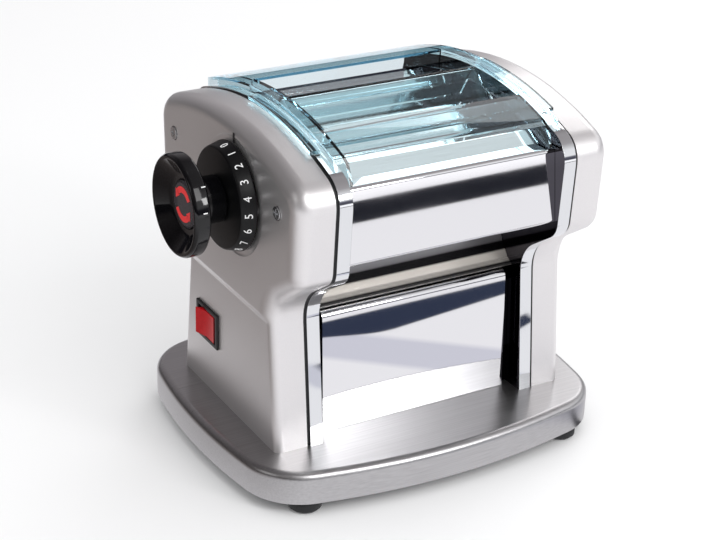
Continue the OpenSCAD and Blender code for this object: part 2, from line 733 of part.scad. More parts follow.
skirt_top_z = base_z + skirt_h;
skirt_foot_z = base_z + touch;
skirt_path = [
    [-skirt_low_y, skirt_foot_z, 0], [-skirt_high_y, skirt_top_z, roll_r], [-skirt_high_y + roll_w,
        skirt_top_z, roll_w - roll_r],
    [-skirt_high_y + roll_w, skirt_top_z - roll_w, 0]];
skirt_end_path = [
    [-skirt_low_y + skirt_step, skirt_foot_z, 0], [-skirt_high_y + skirt_step, skirt_top_z - roll_r - 4, 0]];
skirt_w = 2 * (frame_in - skirt_gap);
module lower_panel() color("#d5d7d9") {
    along(-skirt_w / 2, skirt_w / 2) polygon(ribbon(bent(skirt_path), -sheet_t));
    both() {
        along(skirt_w / 2 - sheet_t, skirt_w / 2) polygon([
            [-skirt_low_y + sheet_t / 2, skirt_foot_z], [-skirt_low_y + skirt_step + sheet_t, skirt_foot_z],
            [-skirt_high_y + skirt_step + sheet_t, skirt_top_z - roll_r - 4],
            [-skirt_high_y + sheet_t, skirt_top_z - roll_r - 4]]);
        along(skirt_w / 2 - sheet_t / 2, panel_end) polygon(ribbon(bent(skirt_end_path), -sheet_t));
    }
}
module lower_panel_front() lower_panel();
module lower_panel_rear() rear() lower_panel();

// Chutes carry the dough out over the rolled edges of the lower panels
chute_end = [skirt_high_y - 3, skirt_top_z + 1 + touch];
chute_gap = 3;
module chute(path) color("#c8cacc") along(-panel_end, panel_end) polygon(ribbon(bent(path), sheet_t));
module outlet_chute_front() chute([[-chute_end[0], chute_end[1], 0], [-chute_end[0] + 5, chute_end[1] + 3, 4],
    [moving_y - 4, roller_z - roller_d / 2 - chute_gap, 0]]);
module outlet_chute_rear() mirror([0, 1, 0]) chute([[-chute_end[0], chute_end[1], 0], [-chute_end[0] + 5,
    chute_end[1] + 3, 4],
    [-cutter_y, cutter_z - cutter_d / 2 - chute_gap, 0]]);

// Feed plates between the top panels and the rollers
feed_low_z = roller_z + roller_d / 2 + feed_clear;
feed_edge_z = base_z + panel_high_h + panel_rise;
feed_edge_y = panel_back_y - touch;
module feed(path) color("#d5d7d9") along(-panel_end, panel_end) polygon(ribbon(bent(path), -sheet_t));
nip_y = moving_y - roller_d / 2 - gap_max / 2;
cut_nip_y = cutter_y + cutter_pitch / 2;
cutter_feed_z = cutter_z + cutter_d / 2 + feed_clear;
module feed_plate_front() feed([[-feed_edge_y, feed_edge_z, 0], [-feed_front_y,
    feed_edge_z + feed_front_rise, feed_bend_r],
    [nip_y - press_way, feed_low_z, 0]]);
module feed_plate_centre() feed([[nip_y + feed_lip, feed_low_z + 2, 0], [knob_y - feed_lip,
    feed_edge_z - feed_valley_drop, feed_ridge_r],
    [cutter_y - feed_lip, feed_edge_z + feed_ridge_rise, feed_ridge_r], [cut_nip_y - cutter_way,
        cutter_feed_z, 0]]);
module feed_plate_rear() feed([[cut_nip_y + cutter_way, cutter_feed_z, 0], [mouth_back_y + feed_clear,
    feed_edge_z + feed_rear_rise, feed_bend_r],
    [feed_edge_y, feed_edge_z, 0]]);

// Rollers and their bushes
journal_end = gear_end + 0.5;
roller_half = roller_len / 2;
module press_roller(at, left_end, right_end) color("#dcdee0") {
    rod(at, roller_d, -roller_half, roller_half);
    rod(at, journal_d, roller_half, right_end);
    rod(at, journal_d, -left_end, -roller_half);
}
module press_roller_fixed() press_roller(fixed, journal_end, journal_end);
module press_roller_moving() press_roller(moving, journal_end, frame_out + retainer_t);

discs = floor((roller_len - 6) / (2 * noodle_w));
cutter_half = discs * noodle_w;
module cutter_roll(at, first, right_end) color("#d3d5d7") {
    for (k = [0:discs - 1]) rod(at, cutter_d, -cutter_half + noodle_w * (2 * k + first) + disc_clearance,
                                -cutter_half + noodle_w * (2 * k + first + 1) - disc_clearance);
    rod(at, cutter_core_d, -cutter_half, cutter_half);
    rod(at, cutter_journal_d, cutter_half, right_end);
    rod(at, cutter_journal_d, -journal_end, -cutter_half);
}
module cutter_roll_front() cutter_roll(cutter_a, 0, journal_end);
module cutter_roll_rear() cutter_roll(cutter_b, 1, frame_out);

module bush(at, bore, d) difference() {
    union() {
        rod(at, d, frame_in, frame_out);
        rod(at, d + 3, frame_out, frame_out + bush_lip);
    }
    rod(at, bore + 2 * slack, frame_in - over, frame_out + bush_lip + over);
}
module roller_bushes() color("#b08a4a") both() {
    bush(fixed, journal_d, press_bush_d);
    bush(cutter_a, cutter_journal_d, cutter_bush_d);
    bush(cutter_b, cutter_journal_d, cutter_bush_d);
}

comb_t = 1.2;
comb_w = noodle_w - 4 * disc_clearance - 0.4;
comb_gap = 0.4;
comb_root = 5;
module comb(at, side, first) {
    y0 = at[0] + side * (cutter_core_d / 2 + comb_gap);
    reach = cutter_d / 2 - cutter_core_d / 2 + 2;
    z0 = at[1] - 2.5;
    translate([-panel_end, side > 0 ? y0 + reach : y0 - reach - comb_root, z0]) cube([2 * panel_end,
        comb_root, comb_t]);
    for (k = [0:discs - 1]) let (x = -cutter_half + noodle_w * (2 * k + first + 0.5))
        translate([x - comb_w / 2, side > 0 ? y0 : y0 - reach - 0.5, z0]) cube([comb_w, reach + 0.5, comb_t]);
}
module cutter_combs() color("#c2a15a") {
    comb(cutter_b, 1, 0);
}

// Sliders: bearing blocks that a cam on each side pushes towards the fixed roller
module slider() color("#b08a4a") difference() {
    union() {
        translate([frame_in + touch, moving_y - block_front, block_low_z])
            cube([frame_t - 2 * touch, block_front + block_back, block_top_z - block_low_z]);
        translate([frame_in + touch, moving_y - block_front, roller_z])
            cube([frame_t - 2 * touch, arm_y - moving_y + block_front, arm_top_z - roller_z]);
    }
    rod(moving, journal_d + 2 * slack, frame_in, frame_out);
}
module slider_left() mirror([1, 0, 0]) slider();
module slider_right() slider();

retainer_y0 = moving_y - block_front - window_front - 6;
retainer_y1 = knob_y + cam_room + 6;
retainer_z0 = block_low_z - 6;
retainer_z1 = arm_top_z + 6;
function retainer_places() = [for (y = [retainer_y0 + 3, retainer_y1 - 3], z = [retainer_z0 + 3,
    retainer_z1 - 3]) [y, z]];
module slider_retainers() color("#8f9294") both() difference() {
    translate([frame_out, retainer_y0, retainer_z0]) cube([retainer_t, retainer_y1 - retainer_y0,
        retainer_z1 - retainer_z0]);
    rod(knob_at, shaft_d + 2 * slack, frame_out - over, frame_out + retainer_t + over);
    for (s = [0, gap_travel]) rod([moving_y - s, roller_z], journal_d + 1, frame_out - over,
        frame_out + retainer_t + over);
    translate([frame_out - over, moving_y - gap_travel, roller_z - journal_d / 2 - 0.5])
        cube([retainer_t + 2 * over, gap_travel, journal_d + 1]);
    for (p = retainer_places()) rod(p, retainer_screw_d + 2 * tap_t, frame_out - over,
        frame_out + retainer_t + over);
}
module retainer_screws() color("#8d8f90") both() for (p = retainer_places()) {
    rod(p, retainer_screw_d, frame_out - 5, frame_out + retainer_t);
    rod(p, retainer_screw_d + 2.5, frame_out + retainer_t, frame_out + retainer_t + 0.8);
}

// Cams: the radius grows evenly with the turn, so the slider moves evenly with it
cam_margin = 10;
cam_rate = gap_travel / knob_turn;
function cam_radius(w) = w <= knob_turn + cam_margin ? cam_r + cam_rate * w :
    let (rest = 360 - knob_turn - 2 * cam_margin, t = (w - knob_turn - cam_margin) / rest)
    cam_r + cam_rate * (knob_turn + cam_margin) * (1 - t) - cam_rate * cam_margin * t;
module cams() color("#9b9ea0") both() difference() {
    translate([frame_in + touch, knob_y, knob_z]) rotate([90, 0, 90]) linear_extrude(frame_t - 2 * touch)
        polygon([for (w = [-cam_margin:6:360 - cam_margin - 6]) cam_radius(w) * [cos(180 + w),
            sin(180 + w)]]);
    rod(knob_at, shaft_d + 2 * seat, frame_in, frame_out);
}

// The shaft is flattened where the knob slides on it
// The hub cap, the screw's head and its washer stand one behind the other on the shaft's end
cap_t = 2.5;
washer_t = 1.2;
screw_head_t = 2;
screw_room = 0.5;
dish_x = knob_x - dish_depth;
shaft_end = dish_x - cap_t - screw_room - screw_head_t - washer_t;
flat_depth = 1;
flat_from = face_x + dial_gap;
module shaft_flat(d, x0, x1) translate([-x1, knob_y + d / 2 - flat_depth, knob_z - d]) cube([x1 - x0, d,
    2 * d]);
module cam_shaft() color("#a7a9ab") difference() {
    rod(knob_at, shaft_d, -shaft_end, frame_out + retainer_t + 1);
    shaft_flat(shaft_d, flat_from, shaft_end + over);
    rod(knob_at, 3 + 2 * slack, -shaft_end - over, -shaft_end + 10);
}

// Sprung ball that drops into the dial's dimples
detent_r = 26;
detent_d = 6;
ball_d = 3;
ball_out = 0.2;
settings = 10;
detent_at = [knob_y - detent_r, knob_z];
module detent_plunger() color("#9b9ea0") {
    rod(detent_at, detent_d, -face_x, -face_x + 8);
    translate([-face_x - ball_out + ball_d / 2, detent_at[0], detent_at[1]]) sphere(d = ball_d);
}

// Knob: the dial, the disc on its neck, and the cap over the screw and spring
pocket_d = 16;
pocket_floor = 3;
pocket_x = neck_x + pocket_floor;
module knob_bore(x0, x1) difference() {
    rod(knob_at, shaft_d + 2 * slack, -x1, -x0);
    shaft_flat(shaft_d + 2 * slack, x0 - over, x1 + over);
}
module turned_along(points) translate([0, knob_y, knob_z]) rotate([0, -90,
    0]) rotate_extrude($fn = 72) polygon(points);
module number_dial() color("#101113") difference() {
    turned_along([[0, dial_x], [dial_d / 2 - 1, dial_x], [dial_d / 2, dial_x + 1], [dial_front_d / 2 + 1,
        neck_x - 1],
        [dial_front_d / 2, neck_x], [0, neck_x]]);
    knob_bore(dial_x - over, neck_x + over);
    for (k = [0:settings - 1]) let (w = 180 + knob_turn * k / (settings - 1))
        rod([knob_y + detent_r * cos(w), knob_z + detent_r * sin(w)], ball_d, -dial_x - 1, -dial_x + over);
}
rim_t = 3.5;
module knob() color("#0c0d0e") difference() {
    turned_along([[0, neck_x], [neck_d / 2, neck_x], [neck_d / 2, disc_x - 1.5], [neck_d / 2 + 1.5, disc_x],
        [knob_d / 2 - 2, disc_x], [knob_d / 2, disc_x + 2], [knob_d / 2, knob_x - 2], [knob_d / 2 - 1.5,
            knob_x],
        [knob_d / 2 - rim_t, knob_x], [hub_d / 2 + 3, dish_x], [0, dish_x]]);
    knob_bore(neck_x - over, pocket_x + over);
    rod(knob_at, pocket_d, -dish_x - over, -pocket_x);
    rod(knob_at, hub_d + 2 * seat, -dish_x - over, -dish_x + cap_t);
}
module hub_cap() color("#3a3c40") turned_along([[0, dish_x - cap_t], [hub_d / 2, dish_x - cap_t], [hub_d / 2,
    dish_x],
    [hub_d / 2 - 2, dish_x + 1.2], [0, dish_x + 1.6]]);
module knob_screw() color("#8d8f90") {
    rod(knob_at, pocket_d - 1, -shaft_end - washer_t, -shaft_end);
    rod(knob_at, 6, -shaft_end - washer_t - screw_head_t, -shaft_end - washer_t);
    rod(knob_at, 3, -shaft_end, -shaft_end + 9);
}

// Spring that draws the knob back in, wound round the shaft
spring_wire = 1.2;
spring_turns = 4;
spring_sides = 6;
spring_steps = 12;
spring_mean_r = (shaft_d + pocket_d) / 4;
module knob_spring() color("#b9bcbe") {
    x0 = pocket_x + touch + spring_wire / 2;
    x1 = shaft_end - touch - spring_wire / 2;
    n = spring_turns * spring_steps;
    rings = [for (k = [0:n]) let (w = 360 * k / spring_steps, x = x0 + (x1 - x0) * k / n)
        [for (s = [0:spring_sides - 1]) let (q = 360 * s / spring_sides, r = spring_mean_r + spring_wire
            / 2 * cos(q))
            [-x - spring_wire / 2 * sin(q), knob_y + r * cos(w), knob_z + r * sin(w)]]];
    mirror([0, 0, 0]) skin(rings);
}

// Gears beside the frames
module press_gear(at, phase) color("#c7c9cb")
    gear(at, press_teeth, press_module, -gear_end, -gear_x, journal_d + 2 * seat, phase, 20, 1.25, 1.5);
module press_gear_fixed() press_gear(fixed, 0);
module press_gear_moving() press_gear(moving, moving_phase);
module press_drive_gear() color("#c7c9cb")
    gear(fixed, press_drive_teeth, drive_module, gear_x, gear_end, journal_d + 2 * seat, press_drive_phase);
module cutter_gear_front() color("#c7c9cb")
    gear(cutter_a, cutter_teeth, drive_module, -gear_end, -gear_x, cutter_journal_d + 2 * seat, 0);
module cutter_gear_rear() color("#c7c9cb")
    gear(cutter_b, cutter_teeth, drive_module, -gear_end, -gear_x, cutter_journal_d + 2 * seat, cutter_phase);
module cutter_drive_gear() color("#c7c9cb")
    gear(cutter_a, cutter_drive_teeth, drive_module, gear_x, gear_end, cutter_journal_d + 2 * seat,
        cutter_drive_phase);
module idler_press() color("#e4e2da")
    gear(idler_a, idler_teeth, drive_module, gear_x, gear_end, axle_d + 2 * slack, idler_a_phase);
module idler_cutter() color("#e4e2da")
    gear(idler_b, idler_teeth, drive_module, gear_x, gear_end, axle_d + 2 * slack, idler_b_phase);

lay_axle_d = 5;
module gear_axles() color("#9b9ea0") {
    rod(idler_a, axle_d, frame_in + 1, gear_end + 1);
    rod(idler_b, axle_d, frame_in + 1, gear_end + 1);
    rod(lay, lay_axle_d, case_x + case_wall - 1.5, frame_in - touch);
}

// Gearbox and motor
case_end = frame_in - touch;
case_x = case_end - case_depth;
wheel_x = case_x + case_wall + 1;
wheel_w = 6;
second_x = wheel_x + wheel_w + 1;
second_w = 9;
tooth_room = 1.5;
wheel_room_r = first_module * (wheel_teeth + 2) / 2 + tooth_room;
output_room_r = second_module * (output_wheel_teeth + 2) / 2 + tooth_room;
pinion_room_r = first_module * (motor_teeth + 2) / 2 + tooth_room;
motor_boss_r = motor_d / 2;
module gearbox_case() color("#9a9c9d") difference() {
    union() {
        rod(lay, 2 * (wheel_room_r + case_wall), case_x, case_end);
        rod(output, 2 * (output_room_r + case_wall), case_x, case_end);
        rod(motor, 2 * (pinion_room_r + case_wall), case_x, case_end);
        rod(motor, 2 * motor_boss_r, case_x, case_x + case_wall);
    }
    rod(lay, 2 * wheel_room_r, case_x + case_wall, case_end + over);
    rod(output, 2 * output_room_r, case_x + case_wall, case_end + over);
    rod(motor, 2 * pinion_room_r, case_x + case_wall, case_end + over);
    rod(motor, motor_shaft_d + 2 * slack, case_x - over, case_x + case_wall + over);
    rod(lay, lay_axle_d + 2 * seat, case_x + case_wall - 1.5, case_x + case_wall + over);
    rod(output, output_d + 2 * slack, case_x + case_wall - 1.5, case_x + case_wall + over);
}
module output_shaft() color("#a7a9ab") rod(output, output_d, case_x + case_wall - 1.4, journal_end);
module output_wheel() color("#c7c9cb") {
    gear(output, output_wheel_teeth, second_module, second_x, second_x + second_w, output_d + 2 * seat,
        output_phase);
    gear(output, output_teeth, drive_module, gear_x, gear_end, output_d + 2 * seat, 0);
}
module reduction_gear() color("#e4e2da") {
    gear(lay, wheel_teeth, first_module, wheel_x, wheel_x + wheel_w, lay_axle_d + 2 * slack, wheel_phase);
    gear(lay, small_teeth, second_module, wheel_x + wheel_w, second_x + second_w, lay_axle_d + 2 * slack, 0);
}
motor_end = case_x;
motor_start = motor_end - motor_len;
motor_wall = 2;
stator_t = 8;
module motor_stator() color("#77797b") difference() {
    rod(motor, motor_d, motor_start, motor_end);
    rod(motor, motor_d - 2 * motor_wall, motor_start + motor_wall, motor_start + 18);
    rod(motor, armature_d + 1.2, motor_start + motor_wall, motor_end - motor_wall);
    rod(motor, motor_d - 2 * motor_wall, motor_end - 14, motor_end - motor_wall);
    rod(motor, motor_shaft_d + 2 * slack, motor_start - over, motor_end + over);
}
module motor_rotor() color("#a06a3a") {
    rod(motor, motor_shaft_d, motor_start - 4, wheel_x + wheel_w + 1);
    rod(motor, armature_d, motor_start + 20, motor_end - 16);
    gear(motor, motor_teeth, first_module, wheel_x, wheel_x + wheel_w, 0, 0);
}

// Switch on the leg of the left housing
bezel_t = 1.6;
rocker_clear = 0.4;
rocker_l = bezel_l - 7;
rocker_w = bezel_w - 6;
rocker_axis_x = leg_x - 1.5;
rocker_r = rocker_l / 2;
module switch_body() color("#1a1b1d") difference() {
    union() {
        translate([-leg_x - bezel_t, switch_y - bezel_l / 2, switch_z - bezel_w / 2]) cube([bezel_t, bezel_l,
            bezel_w]);
        translate([-leg_x, switch_y - switch_cut_l / 2 + tap_t, switch_z - switch_cut_w / 2 + tap_t])
            cube([switch_depth, switch_cut_l - 2 * tap_t, switch_cut_w - 2 * tap_t]);
        for (s = [-1, 0, 1]) translate([-leg_x + switch_depth, switch_y + s * 8 - 0.4,
            switch_z - 2.4]) cube([4, 0.8, 4.8]);
    }
    translate([-leg_x - bezel_t - over, switch_y - rocker_r - rocker_clear,
        switch_z - rocker_w / 2 - rocker_clear])
        cube([bezel_t + over + 10, rocker_l + 2 * rocker_clear, rocker_w + 2 * rocker_clear]);
}
// Two flats that meet in a low ridge; the rear half is pressed in at rest
rocker_tilt = rocker_travel / 2;
module switch_rocker() color("#c8161d") translate([-rocker_axis_x, switch_y,
    switch_z - rocker_w / 2]) rotate([0, 0, rocker_tilt])
    linear_extrude(rocker_w) polygon([
        [0, 5], [-3.2 - rocker_r * tan(rocker_tilt), rocker_r - 1.2], [-3.2, 0],
        [-3.2 - rocker_r * tan(rocker_tilt), -rocker_r + 1.2], [0, -5]]);

// Guard: an arched clear shell with two mouths, resting on the side frames
guard_out = guard_rise + frame_proud + touch;
rail_in = frame_in - 3;
rail_out = frame_in + 4.5;
tab_out = frame_out + 3;
tab_front_y = -63;
tab_back_y = 14;
guard_low_z = base_z + panel_high_h + 1.8;
guard_lean = 27;
// The guard follows the frames' crown and is cut off by a leaning front and an upright back
module guard_shape() intersection() {
    polygon(inset(side_outline, -guard_out));
    polygon([[-guard_front_y - 7, guard_low_z], [guard_back_y, guard_low_z], [guard_back_y, guard_low_z + 90],
        [-guard_front_y - 7 + 90 * tan(guard_lean), guard_low_z + 90]]);
}
module guard_band(deep) difference() {
    guard_shape();
    polygon(inset(side_outline, deep));
}
module keep_y(y0, y1) intersection() {
    children();
    translate([y0, 0]) square([y1 - y0, 400]);
}
sheet_deep = guard_t - guard_out;
rail_deep = 7;
hopper_x = rail_in - guard_t / 2;
hopper_low_z = base_z + head_high_h + 5.8;
hopper_rear_low_z = base_z + 178;
divider_low_y = divider_y - 26;
divider_top_z = base_z + head_high_h + 24;
module hopper_wall(path) polygon(ribbon(bent(path), guard_t));
module guard_hopper() along(-hopper_x, hopper_x) {
    keep_y(-200, mouth_front_y + guard_t / 2) guard_band(sheet_deep);
    keep_y(mouth_back_y - guard_t / 2, 200) guard_band(sheet_deep);
    intersection() {
        guard_shape();
        union() {
            hopper_wall([[mouth_front_y, base_z + roof_h, 0], [mouth_front_y, hopper_low_z + 4, 4],
                [mouth_front_y + 4, hopper_low_z, 0]]);
            hopper_wall([[divider_y + 15, hopper_rear_low_z, 0], [divider_y, divider_top_z, 4],
                [divider_low_y, hopper_low_z, 0]]);
            hopper_wall([[mouth_back_y - 5, hopper_rear_low_z, 0], [mouth_back_y, hopper_rear_low_z + 8, 4],
                [mouth_back_y, base_z + roof_h, 0]]);
        }
    }
}
module guard_rail() {
    difference() {
        along(rail_in - guard_t, rail_out) guard_band(rail_deep);
        along(rail_in, rail_out - guard_t) polygon(inset(side_outline, sheet_deep));
        along(rail_out - guard_t, rail_out + over) polygon(inset(side_outline, -frame_proud - touch));
    }
    // Lifting tab over the seal
    along(rail_out - guard_t, tab_out) keep_y(tab_front_y, tab_back_y) difference() {
        polygon(inset(side_outline, -frame_proud - touch - guard_t));
        polygon(inset(side_outline, -frame_proud - touch));
        translate([-150, 0]) square([300, guard_low_z]);
    }
}
module safety_guard() color("#9fdcea", 0.45) {
    both() guard_rail();
    guard_hopper();
}

module placed() translate([shift_x, 0, 0]) children();
placed() base_plate();
placed() bottom_cover();
placed() feet();
placed() foot_screws();
placed() cord_gland();
placed() side_frame_left();
placed() side_frame_right();
placed() side_seals();
placed() housing_left();
placed() housing_right();
placed() housing_screws();
placed() housing_standoffs();
placed() frame_screws();
placed() tie_rods();
placed() top_panel_front();
placed() top_panel_rear();
placed() lower_panel_front();
placed() lower_panel_rear();
placed() outlet_chute_front();
placed() outlet_chute_rear();
placed() feed_plate_front();
placed() feed_plate_centre();
placed() feed_plate_rear();
placed() press_roller_fixed();
placed() press_roller_moving();
placed() roller_bushes();
placed() slider_left();
placed() slider_right();
placed() slider_retainers();
placed() retainer_screws();
placed() cam_shaft();
placed() cams();
placed() detent_plunger();
placed() number_dial();
placed() knob();
placed() hub_cap();
placed() knob_spring();
placed() knob_screw();
placed() press_gear_fixed();
placed() press_gear_moving();
placed() press_drive_gear();
placed() cutter_roll_front();
placed() cutter_roll_rear();
placed() cutter_gear_front();
placed() cutter_gear_rear();
placed() cutter_drive_gear();
placed() cutter_combs();
placed() idler_press();
placed() idler_cutter();
placed() gear_axles();
placed() gearbox_case();
placed() output_shaft();
placed() output_wheel();
placed() reduction_gear();
placed() motor_stator();
placed() motor_rotor();
placed() switch_body();
placed() switch_rocker();
placed() safety_guard();
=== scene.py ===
import json
import math
import bpy
from mathutils import Matrix, Vector


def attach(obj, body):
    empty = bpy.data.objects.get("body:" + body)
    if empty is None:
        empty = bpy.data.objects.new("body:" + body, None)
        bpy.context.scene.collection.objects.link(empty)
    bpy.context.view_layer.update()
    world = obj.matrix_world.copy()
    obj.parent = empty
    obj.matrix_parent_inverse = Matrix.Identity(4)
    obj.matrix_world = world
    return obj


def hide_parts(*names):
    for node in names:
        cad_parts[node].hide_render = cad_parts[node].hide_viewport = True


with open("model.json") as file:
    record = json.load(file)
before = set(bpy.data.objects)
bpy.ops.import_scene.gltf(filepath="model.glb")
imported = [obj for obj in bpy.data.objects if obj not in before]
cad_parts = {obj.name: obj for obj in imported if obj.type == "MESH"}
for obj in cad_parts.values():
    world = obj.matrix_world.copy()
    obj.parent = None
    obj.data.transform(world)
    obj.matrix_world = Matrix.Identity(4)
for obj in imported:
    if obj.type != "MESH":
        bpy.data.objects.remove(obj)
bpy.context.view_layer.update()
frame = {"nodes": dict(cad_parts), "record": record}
nodes = frame["nodes"]
record = frame["record"]
bodyOf = {n: b for b, group in record["behaviour"]["bodies"].items() for n in group}
slotOf = {s["node"]: s["material_slot"] for s in record["subparts"]}
print("frame loaded:", len(nodes), "nodes")

bpy.context.scene.view_settings.view_transform = "Standard"
mm = 0.001
midX = 9 * mm   # the machine's middle lies this far right of the row's origin
slack = 0.1   # millimetres within which a face or point belongs to a level
touching = 0.01   # and within which it lies on it


def place(x, y, z):
    # millimetres from the machine's middle, as a point in the row frame
    return Vector((x * mm + midX, y * mm, z * mm))


# materials
def srgb(code):
    # a colour code as linear light
    values = [int(code[i:i + 2], 16) / 255 for i in (1, 3, 5)]
    linear = [v / 12.92 if v <= 0.04045 else ((v + 0.055) / 1.055) ** 2.4 for v in values]
    return (*linear, 1.0)


def addNode(tree, kind, settings=None, links=None):
    # settings name a socket or a property; links name the socket that a source feeds
    node = tree.nodes.new(kind)
    for key, value in (settings or {}).items():
        if isinstance(key, int) or key in node.inputs:
            node.inputs[key].default_value = value
        else:
            setattr(node, key, value)
    for key, source in (links or {}).items():
        tree.links.new(source, node.inputs[key])
    return node


def calculate(tree, operation, *terms):
    # each term is a number or a socket
    numbers = {i: term for i, term in enumerate(terms) if isinstance(term, (int, float))}
    sockets = {i: term for i, term in enumerate(terms) if i not in numbers}
    return addNode(tree, "ShaderNodeMath", {"operation": operation, **numbers}, sockets).outputs[0]


def remap(tree, source, low, high, toLow=0.0, toHigh=1.0, way="LINEAR"):
    # low to high becomes toLow to toHigh, and what lies beyond stays at the ends
    settings = {"interpolation_type": way, "From Min": low, "From Max": high,
                "To Min": toLow, "To Max": toHigh}
    return addNode(tree, "ShaderNodeMapRange", settings, {"Value": source}).outputs[0]


def blend(tree, amount, first, second, kind="MIX"):
    # first and second are colour codes or sockets; 6, 7 and 2 are the colour sockets of the Mix node
    ends = {6: first, 7: second}
    codes = {key: srgb(value) for key, value in ends.items() if isinstance(value, str)}
    sockets = {key: value for key, value in ends.items() if key not in codes}
    return addNode(tree, "ShaderNodeMix", {"data_type": "RGBA", "blend_type": kind, **codes},
                   {0: amount, **sockets}).outputs[2]


def colourRamp(tree, source, stops):
    # stops are pairs of position and colour code, from low to high
    node = addNode(tree, "ShaderNodeValToRGB", links={0: source})
    elements = node.color_ramp.elements
    # a new ramp has two of them, and the others are added between
    elements = list(elements) + [elements.new(0.5) for _ in stops[2:]]
    for (position, colour), element in zip(stops, elements):
        element.position = position
        element.color = srgb(colour)
    return node.outputs[0]


def startMaterial(name, **shader):
    material = bpy.data.materials.new(name)
    material.use_nodes = True
    tree = material.node_tree
    bsdf = tree.nodes["Principled BSDF"]
    for key, value in shader.items():
        bsdf.inputs[key.replace("_", " ")].default_value = value
    coords = addNode(tree, "ShaderNodeTexCoord").outputs["Object"]
    return material, tree, bsdf, coords


def grain(tree, coords, size, stretch=(1, 1, 1), detail=2.0):
    # noise whose cells are about size millimetres wide
    cells = {"Scale": tuple(1 / (size * mm * s) for s in stretch)}
    mapping = addNode(tree, "ShaderNodeMapping", cells, {"Vector": coords})
    noise = addNode(tree, "ShaderNodeTexNoise", {"Scale": 1.0, "Detail": detail},
                    {"Vector": mapping.outputs[0]})
    return noise.outputs["Fac"]


def tint(tree, bsdf, source, dark, light):
    tree.links.new(blend(tree, source, dark, light), bsdf.inputs["Base Color"])


def rough(tree, bsdf, source, low, high):
    tree.links.new(remap(tree, source, 0.0, 1.0, low, high), bsdf.inputs["Roughness"])


def bump(tree, bsdf, source, depth, strength):
    node = addNode(tree, "ShaderNodeBump", {"Strength": strength, "Distance": depth * mm}, {"Height": source})
    tree.links.new(node.outputs[0], bsdf.inputs["Normal"])


def satinSilverPaint():
    # sprayed aluminium-flake paint under a thin lacquer: soft wide glints, faint orange peel
    material, tree, bsdf, coords = startMaterial("satinSilverPaint", Metallic=0.92, Coat_Weight=0.1,
                                                 Coat_Roughness=0.25)
    flakes = grain(tree, coords, 0.5, detail=3)
    tint(tree, bsdf, flakes, "#eceaea", "#f8f6f6")
    rough(tree, bsdf, grain(tree, coords, 1.2), 0.36, 0.46)
    bump(tree, bsdf, flakes, 0.02, 0.35)
    return material


def brushedStainless():
    # linished 304 stainless: long fine scratches along the width blur what it mirrors
    material, tree, bsdf, coords = startMaterial("brushedStainless", Metallic=1.0, Anisotropic=0.5)
    lines = grain(tree, coords, 0.9, (90, 1, 1), 4)
    tint(tree, bsdf, lines, "#adacad", "#cfcecf")
    rough(tree, bsdf, lines, 0.24, 0.38)
    bump(tree, bsdf, lines, 0.02, 0.5)
    return material


def mirrorChrome(name, colour, low, high, wave, shadedSpan=None, shade="#2c2b30"):
    # bright nickel-chrome plate or buffed sheet: a clean mirror, barely wavy, with a few wiped streaks; given
    # a span, a band of it gets painted shade
    material, tree, bsdf, coords = startMaterial(name, Metallic=1.0, Base_Color=srgb(colour))
    if shadedSpan:
        # faces between panel and frame, this far from the machine's middle, get painted shade: a dark band in
        # place of the dark gap they would mirror
        x = addNode(tree, "ShaderNodeSeparateXYZ", links={0: coords}).outputs["X"]
        away = calculate(tree, "ABSOLUTE", calculate(tree, "SUBTRACT", x, midX))
        inside = calculate(tree, "COMPARE", away, sum(shadedSpan) / 2 * mm, (shadedSpan[1] - shadedSpan[0]) / 2 * mm)
        tint(tree, bsdf, inside, colour, shade)
    rough(tree, bsdf, grain(tree, coords, 8, (4, 1, 1), 3), low, high)
    bump(tree, bsdf, grain(tree, coords, 60, (1, 1, 1), 1), wave, 0.12)
    return material


def plainMetal(name, dark, light, low, high, size=1.5, stretch=(1, 1, 1)):
    # turned or cast metal: its tool marks show as slight changes in tone and gloss
    material, tree, bsdf, coords = startMaterial(name, Metallic=1.0)
    marks = grain(tree, coords, size, stretch, 3)
    tint(tree, bsdf, marks, dark, light)
    rough(tree, bsdf, marks, low, high)
    bump(tree, bsdf, marks, 0.02, 0.4)
    return material


def mouldedPlastic(name, dark, light, low, high, coat=0.0, size=0.8, shine=0.5):
    # injection-moulded plastic or rubber: a fine spark-eroded grain under the gloss
    material, tree, bsdf, coords = startMaterial(name, Coat_Weight=coat, Coat_Roughness=0.06, IOR=1.5,
                                                 Specular_IOR_Level=shine)
    skin = grain(tree, coords, size, detail=3)
    tint(tree, bsdf, skin, dark, light)
    rough(tree, bsdf, skin, low, high)
    bump(tree, bsdf, skin, 0.02, 0.3)
    return material


# the front chute's painted light and shade by height, in metres, from its lip up into the mouth: dark bands
# of painted shade and a bright band of painted reflection
chutePaintedLightBands = {"low": 0.111, "high": 0.142,
              "stops": [(0.0, "#8a8784"), (0.02, "#1d1c1f"), (0.07, "#1d1c1f"), (0.09, "#e4ded6"),
                        (0.25, "#fbf4ea"), (0.28, "#151417"), (0.40, "#111013"), (0.43, "#8d8b8e")]}


def burnishedChute():
    # polished steel in a narrow mouth: the bands that it would mirror there are painted in by height, as
    # painted shade and painted reflection
    material, tree, bsdf, coords = startMaterial("chuteSteelPaintedLight", Metallic=0.6)
    height = addNode(tree, "ShaderNodeSeparateXYZ", links={0: coords}).outputs["Z"]
    along = remap(tree, height, chutePaintedLightBands["low"], chutePaintedLightBands["high"])
    tree.links.new(colourRamp(tree, along, chutePaintedLightBands["stops"]), bsdf.inputs["Base Color"])
    rough(tree, bsdf, grain(tree, coords, 1.2, (40, 1, 1)), 0.2, 0.3)
    return material


